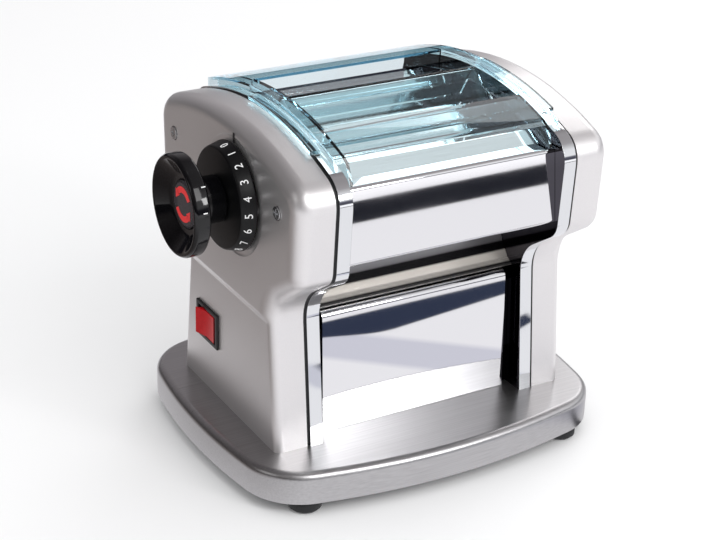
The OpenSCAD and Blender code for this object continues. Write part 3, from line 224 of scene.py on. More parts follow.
def clearAcrylic():
    # turquoise-tinted clear acrylic: nearly colourless across the sheet, deep turquoise seen edge on
    material, tree, bsdf, coords = startMaterial("clearAcrylic", Transmission_Weight=1.0, IOR=1.16,
                                                 Coat_Weight=0.5, Coat_Roughness=0.02,
                                                 Base_Color=srgb("#f5fcfd"))
    rough(tree, bsdf, grain(tree, coords, 12), 0.0, 0.012)
    facing = addNode(tree, "ShaderNodeLayerWeight", {"Blend": 0.5}).outputs["Facing"]
    tint(tree, bsdf, remap(tree, facing, 0.5, 1.0), "#f5fcfd", "#3fa9be")
    # lamps shine through the sheet on to what lies below
    path = addNode(tree, "ShaderNodeLightPath")
    film = addNode(tree, "ShaderNodeBsdfTransparent", {"Color": srgb("#eef9fb")})
    either = addNode(tree, "ShaderNodeMixShader", links={0: path.outputs["Is Shadow Ray"], 1: bsdf.outputs[0],
                                                         2: film.outputs[0]})
    volume = addNode(tree, "ShaderNodeVolumeAbsorption", {"Color": srgb("#27a8c0"), "Density": 55.0})
    output = tree.nodes["Material Output"]
    tree.links.new(either.outputs[0], output.inputs["Surface"])
    tree.links.new(volume.outputs[0], output.inputs["Volume"])
    return material


def clearRed():
    # red polycarbonate with a faint painted glow for the light passing through it
    material, tree, bsdf, coords = startMaterial("clearRedPolycarbonate", Transmission_Weight=0.25, IOR=1.58,
                                                 Emission_Color=srgb("#ff1a22"), Emission_Strength=0.05)
    skin = grain(tree, coords, 3)
    tint(tree, bsdf, skin, "#a00d15", "#bf1720")
    rough(tree, bsdf, skin, 0.08, 0.16)
    return material


# in these spans the chrome gets a band of painted shade
frameInside = (72.0, 72.6)   # how far from the middle the side frames' inner faces lie
skirtEnds = (66.45, 73.0)   # and where the lower panels' set-back ends begin and stop
finishes = {
    "base_steel": brushedStainless(),
    "dark_sheet": mouldedPlastic("blackPowderCoat", "#222325", "#303134", 0.45, 0.6),
    "foot_rubber": mouldedPlastic("blackRubber", "#121315", "#1d1e20", 0.55, 0.75),
    "screw_steel": plainMetal("zincPlatedSteel", "#cfd1d3", "#ebecee", 0.16, 0.26, 0.6),
    # the frames' chrome gets painted shade on its inner faces
    "chrome_frame": mirrorChrome("chromePlate", "#eceef0", 0.03, 0.06, 0.2, frameInside, "#4d4b52"),
    "seal_rubber": mouldedPlastic("sealRubber", "#0c0d0f", "#15161a", 0.4, 0.6),
    "housing_silver": satinSilverPaint(),
    "turned_steel": plainMetal("turnedSteel", "#a9abad", "#c3c5c7", 0.22, 0.34, 0.7, (0.4, 6, 6)),
    "panel_chrome": mirrorChrome("mirrorPolishedPanel", "#f1f1f3", 0.015, 0.04, 0.04),
    "sheet_steel": plainMetal("brightSheetSteel", "#d9dbdd", "#eceeef", 0.07, 0.13, 1.2, (40, 1, 1)),
    "roller_steel": plainMetal("groundRollerSteel", "#cdd0d3", "#e2e4e6", 0.08, 0.16, 0.8, (30, 1, 1)),
    "bearing_bronze": plainMetal("machinedBronze", "#a57c3e", "#c0954f", 0.25, 0.4),
    "knob_black": mouldedPlastic("glossBlackPhenolic", "#060608", "#0b0b0d", 0.06, 0.1, 0.2, 2.0, 0.4),
    "hub_grey": mouldedPlastic("darkGreyHub", "#2c2a2e", "#38353a", 0.22, 0.3, 0.3),
    "gear_steel": plainMetal("hobbedSteel", "#b4b6b8", "#cfd1d3", 0.25, 0.4),
    "gear_nylon": mouldedPlastic("whiteNylon", "#dcdad0", "#ebe9e1", 0.35, 0.5),
    "case_aluminium": plainMetal("dieCastAluminium", "#8d8f91", "#a6a8aa", 0.4, 0.55, 2.5),
    "motor_zinc": plainMetal("greyMotorCan", "#6f7173", "#85878a", 0.4, 0.5, 2.0),
    "armature_copper": plainMetal("woundCopper", "#8f5527", "#b87842", 0.3, 0.45, 0.8, (1, 8, 8)),
    "switch_black": mouldedPlastic("blackPolyamide", "#101113", "#191a1c", 0.3, 0.42),
    "rocker_red": clearRed(),
    "guard_clear": clearAcrylic()}
whitePrint = mouldedPlastic("whitePrint", "#e9e9e9", "#f7f7f7", 0.4, 0.5)
redPrint = mouldedPlastic("redPrint", "#d21f24", "#ea3a3a", 0.3, 0.4)
dialBlack = mouldedPlastic("satinBlackPhenolic", "#060608", "#0b0b0d", 0.34, 0.42, 0.0, 2.0, 0.3)
print("materials made:", len(finishes), "by slot, two prints and the dial's black")


# tools of the bench
def deselectAll():
    bpy.ops.object.select_all(action="DESELECT")


def activate(piece):
    deselectAll()
    piece.select_set(True)
    bpy.context.view_layer.objects.active = piece


def editOn(piece):
    activate(piece)
    bpy.ops.object.mode_set(mode="EDIT")


def editOff():
    bpy.ops.object.mode_set(mode="OBJECT")


def pick(piece, kind, test):
    # selects the faces or edges that pass a test, and stays in edit mode
    bpy.ops.object.mode_set(mode="EDIT")
    bpy.ops.mesh.select_mode(type={"edges": "EDGE", "polygons": "FACE"}[kind])
    bpy.ops.mesh.select_all(action="DESELECT")
    editOff()
    for item in getattr(piece.data, kind):
        item.select = bool(test(item))
    bpy.ops.object.mode_set(mode="EDIT")


def deleteFaces(piece, test):
    pick(piece, "polygons", test)
    bpy.ops.mesh.delete(type="FACE")
    editOff()


def faceOutwards():
    bpy.ops.mesh.select_all(action="SELECT")
    bpy.ops.mesh.normals_make_consistent(inside=False)


def addModifier(piece, kind, **settings):
    activate(piece)
    bpy.ops.object.modifier_add(type=kind)
    modifier = piece.modifiers[-1]
    for key, value in settings.items():
        setattr(modifier, key, value)
    bpy.ops.object.modifier_apply(modifier=modifier.name)


def cutAway(piece, cutter):
    addModifier(piece, "BOOLEAN", object=cutter, operation="DIFFERENCE", solver="EXACT")
    bpy.data.objects.remove(cutter)


def steadyNormals(piece):
    # wide faces keep their own direction, so that a flat mirror stays flat beside its rolled edge
    addModifier(piece, "WEIGHTED_NORMAL", weight=80, keep_sharp=True)


def settle(piece):
    activate(piece)
    bpy.ops.object.transform_apply(location=True, rotation=True, scale=True)


def stand(piece, spot, across, upward, outward):
    # puts a piece at a spot, with its own X, Y and Z along three given ways
    turn = Matrix((across, upward, outward)).transposed().to_4x4()
    piece.matrix_world = Matrix.Translation(spot) @ turn


def paint(piece, material):
    piece.data.materials.clear()
    piece.data.materials.append(material)


def finishPiece(piece, body, material, replaced=(), angle=35):
    activate(piece)
    bpy.ops.object.shade_smooth_by_angle(angle=math.radians(angle))
    paint(piece, material)
    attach(piece, body)
    if replaced:
        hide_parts(*replaced)


def startPoint(name, spot):
    # one vertex to pull and spin, in edit mode
    deselectAll()
    bpy.ops.mesh.primitive_plane_add(size=mm, location=spot)
    piece = bpy.context.active_object
    piece.name = name
    settle(piece)
    bpy.ops.object.mode_set(mode="EDIT")
    bpy.ops.mesh.select_mode(type="VERT")
    bpy.ops.mesh.merge(type="CENTER")
    return piece


def cornerArc(before, corner, after, radius):
    # where a rounded corner's arc starts, its centre and its turn
    a = (before - corner).normalized()
    b = (after - corner).normalized()
    half = a.angle(b) / 2
    way = 1 if (corner - before).cross(after - corner) > 0 else -1
    start = corner + a * radius / math.tan(half)
    centre = corner + (a + b).normalized() * radius / math.sin(half)
    return start, centre, way * (math.pi - 2 * half)


def drawOutline(name, corners, axis, at):
    # corners are (first, second, radius, steps); a point is pulled between them and spun round each arc
    flat = [Vector(c[:2]) for c in corners]
    if axis == "X":
        lift, spinAxis = (lambda p: place(at, p[0], p[1])), (1, 0, 0)
    else:
        lift, spinAxis = (lambda p: place(p[0], p[1], at)), (0, 0, 1)
    stops = []
    for i, (a, b, radius, steps) in enumerate(corners):
        if radius:
            after = flat[(i + 1) % len(flat)]
            stops.append((*cornerArc(flat[i - 1], flat[i], after, radius), steps))
        else:
            stops.append((flat[i], None, 0, 0))
    here = lift(stops[0][0])
    piece = startPoint(name, here)
    for point, centre, turn, steps in stops:
        step = lift(point) - here
        if step.length > 1e-7:   # the first point is already there
            bpy.ops.mesh.extrude_vertices_move(TRANSFORM_OT_translate={"value": step})
            here = lift(point)
        if centre is not None:
            bpy.ops.mesh.spin(steps=steps, angle=-turn, center=lift(centre), axis=spinAxis)
            here = lift(centre) + Matrix.Rotation(turn, 3, Vector(spinAxis)) @ (here - lift(centre))
    bpy.ops.mesh.select_all(action="SELECT")
    bpy.ops.mesh.edge_face_add()
    editOff()
    return piece


def pullUp(piece, step):
    # the drawn face becomes a block
    editOn(piece)
    bpy.ops.mesh.select_all(action="SELECT")
    bpy.ops.mesh.extrude_region_move(TRANSFORM_OT_translate={"value": step})
    faceOutwards()
    editOff()


turnSteps = 96   # facets round a turned piece


def turnProfile(name, profile, centre):
    # profile holds (distance left of the middle, radius); it is pulled point by point and spun
    points = [place(-x, centre[0], centre[1] + r) for x, r in profile]
    piece = startPoint(name, points[0])
    for a, b in zip(points, points[1:]):
        bpy.ops.mesh.extrude_vertices_move(TRANSFORM_OT_translate={"value": b - a})
    bpy.ops.mesh.select_all(action="SELECT")
    bpy.ops.mesh.spin(steps=turnSteps, angle=2 * math.pi, center=place(0, *centre), axis=(1, 0, 0))
    bpy.ops.mesh.select_all(action="SELECT")
    bpy.ops.mesh.remove_doubles(threshold=0.001 * mm)
    faceOutwards()
    editOff()
    return piece


# camera, light and floor
view = {"azimuth": -30.72, "elevation": 25.49, "roll": 1.92, "distance": 1130.2,
        "target": (-12.42, 0, 104.95), "lens": 89.27}


def makeCamera():
    a, e, r = (math.radians(view[k]) for k in ("azimuth", "elevation", "roll"))
    right = Vector((math.cos(a), math.sin(a), 0))
    back = Vector((math.sin(a) * math.cos(e), -math.cos(a) * math.cos(e), math.sin(e)))
    up = back.cross(right)
    data = bpy.data.cameras.new("camera")
    camera = bpy.data.objects.new("camera", data)
    bpy.context.scene.collection.objects.link(camera)
    stand(camera, place(*view["target"]) + back * view["distance"] * mm,
          right * math.cos(r) + up * math.sin(r), up * math.cos(r) - right * math.sin(r), back)
    data.sensor_width = 36
    data.lens = view["lens"]
    data.clip_start = 0.01
    bpy.context.scene.camera = camera


# each lamp's place, aim and size in metres, and its watts
lamps = {"keyLamp": ((0.15, -1.5, 1.4), (0, 0, 0.1), (1.1, 0.9), 11),
         "stripLamp": ((0.57, -1.23, 0.7), (-0.12, 0, 0.18), (0.2, 0.34), 2.6),
         "fillLamp": ((-1.7, -0.2, 1.0), (0, 0, 0.1), (0.8, 0.8), 1.2),
         "rimLamp": ((1.3, 0.9, 1.2), (0, 0, 0.1), (0.9, 0.9), 5)}


def makeLamp(name, spot, aim, size, power):
    data = bpy.data.lights.new(name, "AREA")
    data.shape = "RECTANGLE"
    data.size, data.size_y = size
    data.energy = power
    lamp = bpy.data.objects.new(name, data)
    bpy.context.scene.collection.objects.link(lamp)
    lamp.location = Vector(spot)
    lamp.rotation_euler = (Vector(aim) - Vector(spot)).to_track_quat("-Z", "Y").to_euler()


# what polished metal sees of the room: pale, with a soft dark band above the horizon, and greyer to the
# left and the back; left and back are where that starts and is full, as parts of a direction
room = {"stops": [(0.0, "#d0d0d0"), (0.49, "#c8c8cc"), (0.51, "#4c4c58"), (0.555, "#6a6a76"),
                  (0.59, "#f4f4f6"), (0.74, "#f0f0f2"), (0.86, "#a8a4a6"), (1.0, "#8d898b")],
        "left": (0.1, -0.7), "leftColour": "#655f5e", "back": (0.15, 0.55), "backColour": "#a8a3a5",
        "dullColour": "#f6f6f7", "seenColour": "#ffffff"}


def makeWorld():
    world = bpy.data.worlds.new("studio")
    bpy.context.scene.world = world
    world.use_nodes = True
    tree = world.node_tree
    coords = addNode(tree, "ShaderNodeTexCoord").outputs["Generated"]
    split = addNode(tree, "ShaderNodeSeparateXYZ", links={0: coords})
    walls = colourRamp(tree, remap(tree, split.outputs["Z"], -1.0, 1.0), room["stops"])
    leftward = remap(tree, split.outputs["X"], *room["left"])
    walls = blend(tree, leftward, walls, room["leftColour"], "MULTIPLY")
    backward = remap(tree, split.outputs["Y"], *room["back"])
    walls = blend(tree, backward, walls, room["backColour"], "MULTIPLY")
    # dull faces are lit by an even room, and the camera sees it white
    path = addNode(tree, "ShaderNodeLightPath")
    lit = blend(tree, path.outputs["Is Glossy Ray"], room["dullColour"], walls)
    seen = calculate(tree, "MAXIMUM", path.outputs["Is Camera Ray"], path.outputs["Is Transmission Ray"])
    shown = blend(tree, seen, lit, room["seenColour"])
    tree.links.new(shown, tree.nodes["Background"].inputs["Color"])


# painted reflections: strips in the table that polished faces mirror, in metres from the row's origin: a far
# dark strip, a near one with a hump, a faint slanting shade and a line at the lower panel's end, with painted
# shade towards the left; a third value is how softly it ends
paintedTableReflections = {
    "size": 6, "plainColour": "#f4f3f6", "sideX": (-0.1, -0.2), "sideY": (-0.3, 0.0), "sideColour": "#7b7371",
    "farY": (-1.04, -0.914, 0.002), "farX": (0.33, 0.85, 0.01), "farColour": "#24252c",
    "nearY": (-0.282, -0.2575, 0.001), "nearX": (0.045, 0.236, 0.005), "nearColour": "#333a4e",
    "humpX": (0.035, 0.098, 0.104, 0.228), "humpDeep": 0.0172,
    "slantWay": (0.758, 0.652), "slantWidth": (0.1688, 0.2188, 0.005), "slantX": (0.02, 0.16, 0.004),
    "slantColour": "#d4d4df",
    "endFrom": (0.1116, -0.0826), "endSlope": 0.674, "endWidth": (0.003, 0.017, 0.001),
    "endY": (-0.19, -0.07, 0.004), "endColour": "#3a3a40",
    "glowY": (-1.0, -1.1), "glow": (1.0, 1.25)}


def makeFloor():
    t = paintedTableReflections
    deselectAll()
    bpy.ops.mesh.primitive_plane_add(size=t["size"], location=(0, 0, 0))
    floor = bpy.context.active_object
    floor.name = "floor"
    material, tree, bsdf, coords = startMaterial("paleFloor", Roughness=0.6, Base_Color=srgb("#f6f6f6"))
    split = addNode(tree, "ShaderNodeSeparateXYZ", links={0: coords})
    x, y = split.outputs["X"], split.outputs["Y"]

    def both(first, second):
        return calculate(tree, "MULTIPLY", first, second)

    def above(source, edge, soft):
        return remap(tree, source, edge - soft, edge + soft)

    def below(source, edge, soft):
        return remap(tree, source, edge + soft, edge - soft)

    def between(source, low, high, soft):
        # one between two distances, nought elsewhere
        return both(above(source, low, soft), below(source, high, soft))

    far = both(between(y, *t["farY"]), between(x, *t["farX"]))
    rise = remap(tree, x, t["humpX"][0], t["humpX"][1], 0.0, t["humpDeep"], "SMOOTHSTEP")
    hump = both(rise, remap(tree, x, t["humpX"][3], t["humpX"][2]))
    low, high, soft = t["nearY"]
    near = both(above(y, low, soft), below(calculate(tree, "SUBTRACT", y, hump), high, soft))
    near = both(near, between(x, *t["nearX"]))
    slanted = calculate(tree, "SUBTRACT", calculate(tree, "MULTIPLY", x, t["slantWay"][0]),
                        calculate(tree, "MULTIPLY", y, t["slantWay"][1]))
    slant = both(between(slanted, *t["slantWidth"]), between(x, *t["slantX"]))
    offset = -t["endFrom"][0] - t["endSlope"] * t["endFrom"][1]
    beside = calculate(tree, "ADD", x, calculate(tree, "MULTIPLY_ADD", y, t["endSlope"], offset))
    end = both(between(beside, *t["endWidth"]), between(y, *t["endY"]))
    side = both(remap(tree, x, *t["sideX"]), remap(tree, y, *t["sideY"]))
    shade = blend(tree, side, t["plainColour"], t["sideColour"])
    for mask, colour in ((far, "farColour"), (slant, "slantColour"), (end, "endColour"),
                         (near, "nearColour")):
        shade = blend(tree, mask, shade, t[colour])
    # only reflected rays see the strips, which glow as painted reflections
    path = addNode(tree, "ShaderNodeLightPath")
    glow = remap(tree, y, *t["glowY"], *t["glow"])
    shown = addNode(tree, "ShaderNodeEmission", links={"Color": shade, "Strength": glow})
    either = addNode(tree, "ShaderNodeMixShader", links={0: path.outputs["Is Glossy Ray"], 1: bsdf.outputs[0],
                                                         2: shown.outputs[0]})
    tree.links.new(either.outputs[0], tree.nodes["Material Output"].inputs["Surface"])
    floor.data.materials.append(material)


makeCamera()
for name, (spot, aim, size, power) in lamps.items():
    makeLamp(name, spot, aim, size, power)
makeWorld()
makeFloor()
print("camera, light and floor set")

# end housings
housing = {"inner": 82.8, "face": 107.5, "foot": 29.0, "wall": 2.4, "headEdge": 10.0, "legEdge": 5.0,
           "edgeSteps": 8, "legDrop": 3.1, "legOutward": (0.9946, 0.1036), "stepLow": 110.61,
           "stepHigh": 118.6, "screwY": 69.0, "screwZ": 190.0, "recess": 9.0, "recessDeep": 1.2, "past": 2.0,
           "dialRecess": 37.5, "shaftHole": 4.2, "shaftDeep": (100, 110),
           "windowAt": (-102, 27.7, 75), "window": (12, 27, 21)}
knobAt = (-14.0, 180.0)
# the outline of a side: depth, height, radius and steps round it
sideCorners = [(-66.96, 14.0, 0, 0), (66.96, 14.0, 0, 0), (55.3, 126.0, 26.0, 16), (90.6, 150.2, 13.0, 10),
               (93.4, 207.2, 17.0, 12), (0.0, 240.8, 236.0, 24), (-93.4, 207.2, 17.0, 12),
               (-90.6, 150.2, 13.0, 10), (-55.3, 126.0, 26.0, 16)]


def cutRound(piece, side, centre, radius, low, high):
    # bores a piece along X between two distances from the middle
    deselectAll()
    bpy.ops.mesh.primitive_cylinder_add(vertices=48, radius=radius * mm, depth=(high - low) * mm,
                                        rotation=(0, math.pi / 2, 0),
                                        location=place(side * (low + high) / 2, centre[0], centre[1]))
    cutter = bpy.context.active_object
    settle(cutter)
    cutAway(piece, cutter)


def roundHead(piece, side):
    # insets of the outer face, each a little higher than the last
    edge, steps = housing["headEdge"], housing["edgeSteps"]
    flange = (housing["face"] - edge - slack) * mm
    pick(piece, "polygons", lambda f: side * (f.center.x - midX) > flange)
    for k in range(steps):
        a, b = math.radians(90 * k / steps), math.radians(90 * (k + 1) / steps)
        bpy.ops.mesh.inset(thickness=edge * (math.cos(a) - math.cos(b)) * mm,
                           depth=edge * (math.sin(b) - math.sin(a)) * mm, use_even_offset=True)
    editOff()


def sliceLevels(piece):
    # edges for the soft step, and a level cut at the foot
    h = housing
    for k in range(h["edgeSteps"] + 1):
        level = h["stepLow"] + (h["stepHigh"] - h["stepLow"]) * k / h["edgeSteps"]
        pick(piece, "polygons", lambda f: True)
        bpy.ops.mesh.bisect(plane_co=place(0, 0, level), plane_no=(0, 0, 1))
        editOff()
    pick(piece, "polygons", lambda f: True)
    bpy.ops.mesh.bisect(plane_co=place(0, 0, h["foot"]), plane_no=(0, 0, 1), clear_inner=True,
                        use_fill=True)
    bpy.ops.mesh.select_all(action="SELECT")
    bpy.ops.mesh.remove_doubles(threshold=0.05 * mm)
    editOff()


def setLegBack(piece, side):
    # below the step the face stands back and its edge is sharper
    h = housing
    for vertex in piece.data.vertices:
        x, z = side * (vertex.co.x - midX) / mm, vertex.co.z / mm
        under = (h["face"] - x) / h["headEdge"]
        share = min(1, max(0, (z - h["stepLow"]) / (h["stepHigh"] - h["stepLow"])))
        share = 1 - share * share * (3 - 2 * share)
        if under < 1.001 and share > 0:
            gone = (h["headEdge"] - h["legEdge"]) * share
            swing = gone * (1 - math.sqrt(max(0, 1 - (1 - under) ** 2)))
            vertex.co.x += side * (under * gone - h["legDrop"] * share) * mm
            vertex.co.y += math.copysign(h["legOutward"][0] * swing, vertex.co.y) * mm
            vertex.co.z += h["legOutward"][1] * swing * mm if z > h["foot"] + slack else 0


def makeHousing(name, side):
    h = housing
    piece = drawOutline(name, sideCorners, "X", side * h["inner"])
    pullUp(piece, Vector((side * (h["face"] - h["headEdge"] - h["inner"]) * mm, 0, 0)))
    roundHead(piece, side)
    sliceLevels(piece)
    setLegBack(piece, side)
    # open at the seal and at the foot, with a real wall
    seal, foot = (h["inner"] + touching) * mm, (h["foot"] + touching) * mm
    deleteFaces(piece, lambda f: side * (f.center.x - midX) < seal or f.center.z < foot)
    addModifier(piece, "SOLIDIFY", thickness=h["wall"] * mm, offset=-1, use_even_offset=True)
    for s in (-1, 1):
        cutRound(piece, side, (s * h["screwY"], h["screwZ"]), h["recess"] / 2, h["face"] - h["recessDeep"],
                 h["face"] + h["past"])
    return piece


def finishHousing(piece, node):
    finishPiece(piece, "chassis", finishes["housing_silver"], [node], 30)
    steadyNormals(piece)


leftHousing = makeHousing("leftHousing", -1)
cutRound(leftHousing, -1, knobAt, housing["shaftHole"], *housing["shaftDeep"])
pocket = housing["dialRecess"]
cutAway(leftHousing, turnProfile("dialPocket", [(106.6, 0), (106.6, pocket - 3), (107.0, pocket - 1.2),
                                                (108.0, pocket), (112, pocket), (112, 0)], knobAt))
deselectAll()
bpy.ops.mesh.primitive_cube_add(size=mm, location=place(*housing["windowAt"]), scale=housing["window"])
windowCut = bpy.context.active_object
settle(windowCut)
cutAway(leftHousing, windowCut)
finishHousing(leftHousing, "housing_left")
finishHousing(makeHousing("rightHousing", 1), "housing_right")
print("housings made")

# base: four long arcs, each turned this many degrees from the middle to the corner
base = {"low": 8.6, "top": 29.0, "edge": 5.0, "wall": 1.5, "halfWidth": 128.5, "halfDepth": 106.5,
        "frontRadius": 418.0, "sideRadius": 397.0, "cornerRadius": 40.0, "frontTurn": 11, "sideTurn": 9,
        "sideSteps": 20, "cornerSteps": 16, "edgeSteps": 8}
frontTurn, sideTurn = math.radians(base["frontTurn"]), math.radians(base["sideTurn"])
frontTan, sideTan = math.tan(frontTurn), math.tan(sideTurn)
frontApex = base["halfDepth"] + base["frontRadius"] * (1 / math.cos(frontTurn) - 1)
sideApex = base["halfWidth"] + base["sideRadius"] * (1 / math.cos(sideTurn) - 1)
cornerX = (sideApex - sideTan * frontApex) / (1 - frontTan * sideTan)
cornerY = frontApex - frontTan * cornerX
front, side = (base["frontRadius"], base["sideSteps"]), (base["sideRadius"], base["sideSteps"])
corner = (base["cornerRadius"], base["cornerSteps"])
baseCorners = [(0, -frontApex, *front), (cornerX, -cornerY, *corner), (sideApex, 0, *side),
               (cornerX, cornerY, *corner), (0, frontApex, *front), (-cornerX, cornerY, *corner),
               (-sideApex, 0, *side), (-cornerX, -cornerY, *corner)]
basePan = drawOutline("basePan", baseCorners, "Z", base["low"])
pullUp(basePan, Vector((0, 0, (base["top"] - base["low"]) * mm)))
rim = (base["top"] - slack) * mm
pick(basePan, "edges", lambda e: all(basePan.data.vertices[i].co.z > rim for i in e.vertices))
bpy.ops.mesh.bevel(offset=base["edge"] * mm, offset_type="OFFSET", segments=base["edgeSteps"], affect="EDGES",
                   clamp_overlap=False)
editOff()
deleteFaces(basePan, lambda f: f.center.z < (base["low"] + slack) * mm)
addModifier(basePan, "SOLIDIFY", thickness=base["wall"] * mm, offset=-1, use_even_offset=True)
finishPiece(basePan, "chassis", finishes["base_steel"], ["base_plate"], 30)
steadyNormals(basePan)
print("base made")

# knob and dial
turned = {
    "knobDisc": {"profile": [(118.2, 4.3), (118.2, 14.25), (134.0, 14.25), (135.5, 15.6), (135.5, 28.6),
                             (137.2, 31.0), (144.6, 31.0), (146.5, 29.6), (146.5, 28.2), (140.0, 20.5),
                             (138.5, 18.0), (138.5, 14.8), (136.4, 14.8), (136.4, 8.6), (121.0, 8.6),
                             (121.0, 4.3), (118.2, 4.3)],
                 "edge": 0.7, "steps": 4, "body": "knob_body", "slot": "knob_black",
                 "material": finishes["knob_black"], "node": "knob"},
    "hubCap": {"profile": [(136.6, 0), (136.6, 14.5), (138.9, 14.5), (140.0, 12.9), (140.1, 0)],
               "edge": 0.35, "steps": 3, "body": "knob_body", "slot": "hub_grey",
               "material": finishes["hub_grey"], "node": "hub_cap"},
    "dialRing": {"profile": [(108.0, 4.3), (108.0, 32.6), (109.0, 33.5), (117.1, 31.2), (118.0, 30.4),
                             (118.0, 14.4), (118.0, 4.3), (108.0, 4.3)],
                 "edge": 0.4, "steps": 3, "body": "cam_body", "slot": "knob_black",
                 "material": dialBlack, "node": "number_dial"}}
for name, t in turned.items():
    piece = turnProfile(name, t["profile"], knobAt)
    addModifier(piece, "BEVEL", width=t["edge"] * mm, segments=t["steps"], limit_method="ANGLE",
                angle_limit=math.radians(20))
    finishPiece(piece, t["body"], t["material"], [t["node"]], 40)
print("knob and dial turned")

# the dial's figures; em is the type size for one millimetre of figure
dialMarks = {"count": 10, "step": 18.0, "height": 5.0, "em": 1.38, "thick": 0.24, "distance": 113.3,
             "radius": 32.28, "lean": 15.9}


def printedText(body):
    # a figure laid flat at the origin, centred
    deselectAll()
    bpy.ops.object.text_add(location=(0, 0, 0))
    figure = bpy.context.active_object
    figure.data.body = body
    figure.data.size = dialMarks["height"] * dialMarks["em"] * mm
    figure.data.extrude = dialMarks["thick"] / 2 * mm
    figure.data.align_x = "CENTER"
    figure.data.align_y = "CENTER"
    bpy.ops.object.convert(target="MESH")
    return bpy.context.active_object


def joinPieces(pieces, name):
    deselectAll()
    for piece in pieces:
        piece.select_set(True)
    bpy.context.view_layer.objects.active = pieces[0]
    bpy.ops.object.join()
    pieces[0].name = name
    return pieces[0]


def onRim(piece, turn, distance, radius, lean):
    # stands a flat figure on a rim, its top towards the knob; turn runs from 12 o'clock to the front
    t, a = math.radians(turn), math.radians(lean)
    left = Vector((-1, 0, 0))
    outward = Vector((0, -math.sin(t), math.cos(t)))
    upward = (left * math.cos(a) - outward * math.sin(a)).normalized()
    normal = (outward * math.cos(a) + left * math.sin(a)).normalized()
    stand(piece, place(-distance, *knobAt) + outward * radius * mm, upward.cross(normal), upward, normal)
    settle(piece)
    return piece


figures = [onRim(printedText(str(k)), dialMarks["step"] * k, dialMarks["distance"], dialMarks["radius"],
                 dialMarks["lean"]) for k in range(dialMarks["count"])]
dialNumbers = joinPieces(figures, "dialNumbers")
finishPiece(dialNumbers, "cam_body", whitePrint)

# two curved arrows on the hub, a pair of ticks on the knob's rim and the pointer above the dial;
# headLap is how much of its own length an arrow's head is moved past the arc
marks = {"hubFace": 140.1, "arcIn": 7.0, "arcOut": 10.8, "arcFrom": 30.0, "arcSweep": 112.0, "arcSteps": 20,
         "headLong": 4.6, "headWide": 7.0, "headLap": 0.35, "ticks": ((138.3, 50.5), (140.0, 78.5)),
         "tick": (2.6, 0.7), "tickRadius": 31.0, "pointerX": -107.5, "pointerZ": (213.0, 219.0),
         "pointerWide": 2.0, "roundShare": 0.3, "thick": 0.16}


def hubPoint(radius, angle):
    # nought is towards the front and a quarter turn is up, as the hub is looked at
    w = math.radians(angle)
    return place(-marks["hubFace"], knobAt[0] - radius * math.cos(w), knobAt[1] + radius * math.sin(w))


def arrowOnHub(name, start):
    m = marks
    arrow = startPoint(name, hubPoint(m["arcIn"], start))
    across = hubPoint(m["arcOut"], start) - hubPoint(m["arcIn"], start)
    bpy.ops.mesh.extrude_vertices_move(TRANSFORM_OT_translate={"value": across})
    bpy.ops.mesh.select_all(action="SELECT")
    bpy.ops.mesh.spin(steps=m["arcSteps"], angle=math.radians(m["arcSweep"]),
                      center=place(-m["hubFace"], *knobAt), axis=(1, 0, 0))
    editOff()
    # the head is a three-sided disc laid past the end of the arc
    headAt = start + m["arcSweep"] + math.degrees(m["headLong"] / m["arcOut"]) * m["headLap"]
    midArc = (m["arcIn"] + m["arcOut"]) / 2
    deselectAll()
    bpy.ops.mesh.primitive_circle_add(vertices=3, radius=m["headWide"] / 2 * mm, fill_type="NGON",
                                      location=(0, 0, 0))
    head = bpy.context.active_object
    tip = (hubPoint(midArc, headAt + 1) - hubPoint(midArc, headAt)).normalized()
    face = Vector((-1, 0, 0))
    stand(head, hubPoint(midArc, headAt), tip.cross(face), tip, face)
    settle(head)
    return joinPieces([arrow, head], name)


hubArrows = joinPieces([arrowOnHub("upperArrow", marks["arcFrom"]),
                        arrowOnHub("lowerArrow", marks["arcFrom"] + 180)], "hubArrows")
editOn(hubArrows)
faceOutwards()
editOff()
addModifier(hubArrows, "SOLIDIFY", thickness=marks["thick"] * mm, offset=0)
finishPiece(hubArrows, "knob_body", redPrint)


def flatBar(name, long, wide):
    # a rounded bar laid flat at the origin; half of its thickness sinks into what it is printed on
    deselectAll()
    bpy.ops.mesh.primitive_cube_add(size=1, location=(0, 0, 0),
                                    scale=(wide * mm, long * mm, 2 * marks["thick"] * mm))
    bar = bpy.context.active_object
    bar.name = name
    settle(bar)
    addModifier(bar, "BEVEL", width=marks["roundShare"] * wide * mm, segments=3, limit_method="ANGLE",
                use_clamp_overlap=True)
    return bar


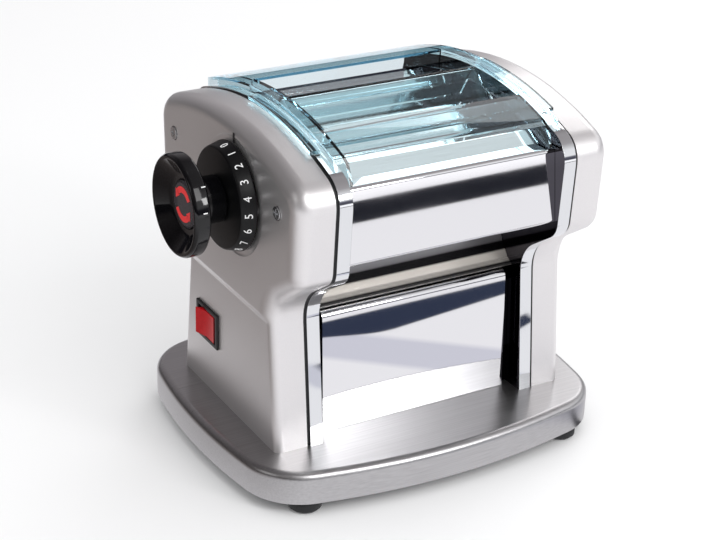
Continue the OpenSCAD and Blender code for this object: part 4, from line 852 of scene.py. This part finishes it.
rimTicks = joinPieces([onRim(flatBar("tick", *marks["tick"]), turn, x, marks["tickRadius"], 0)
                       for x, turn in marks["ticks"]], "rimTicks")
finishPiece(rimTicks, "knob_body", whitePrint)
pointerLow, pointerHigh = marks["pointerZ"]
pointer = flatBar("pointer", pointerHigh - pointerLow, marks["pointerWide"])
stand(pointer, place(marks["pointerX"], knobAt[0], (pointerLow + pointerHigh) / 2),
      Vector((0, -1, 0)), Vector((0, 0, 1)), Vector((-1, 0, 0)))
settle(pointer)
finishPiece(pointer, "chassis", finishes["switch_black"])
print("numbers set")

# every other node is dressed; lengths in millimetres, angles in degrees
dressing = {"merge": 0.002, "flatWithin": 0.4, "sharp": 35, "segments": 2,
            "edges": {"side_frame_left": 0.9, "side_frame_right": 0.9, "switch_body": 0.4,
                      "switch_rocker": 0.3, "housing_screws": 0.2, "safety_guard": 0.3}}
remade = ["housing_left", "housing_right", "base_plate", "knob", "hub_cap", "number_dial"]


def dressNode(name):
    # a merged copy of a CAD node, with its flat faces made whole and its edges broken
    d = dressing
    piece = bpy.data.objects.new(name + "_fine", nodes[name].data.copy())
    bpy.context.scene.collection.objects.link(piece)
    editOn(piece)
    bpy.ops.mesh.select_all(action="SELECT")
    bpy.ops.mesh.remove_doubles(threshold=d["merge"] * mm)
    bpy.ops.mesh.dissolve_limited(angle_limit=math.radians(d["flatWithin"]))
    editOff()
    if name in d["edges"]:
        addModifier(piece, "BEVEL", width=d["edges"][name] * mm, segments=d["segments"], limit_method="ANGLE",
                    angle_limit=math.radians(d["sharp"]), use_clamp_overlap=True, harden_normals=False)
    finishPiece(piece, bodyOf[name], finishes[slotOf[name]], [name], d["sharp"])
    steadyNormals(piece)


for name in nodes:
    if name not in remade:
        dressNode(name)
# the front chute shows between the panels and has its own painted bands of shade and reflection
paint(bpy.data.objects["outlet_chute_front_fine"], burnishedChute())
# the lower panels' set-back ends get painted shade
shadedSkirtChrome = mirrorChrome("mirrorPolishedSkirtPaintedShade", "#f1f1f3", 0.015, 0.04, 0.04, skirtEnds)
for name in ("lower_panel_front_fine", "lower_panel_rear_fine"):
    paint(bpy.data.objects[name], shadedSkirtChrome)
print("nodes dressed")
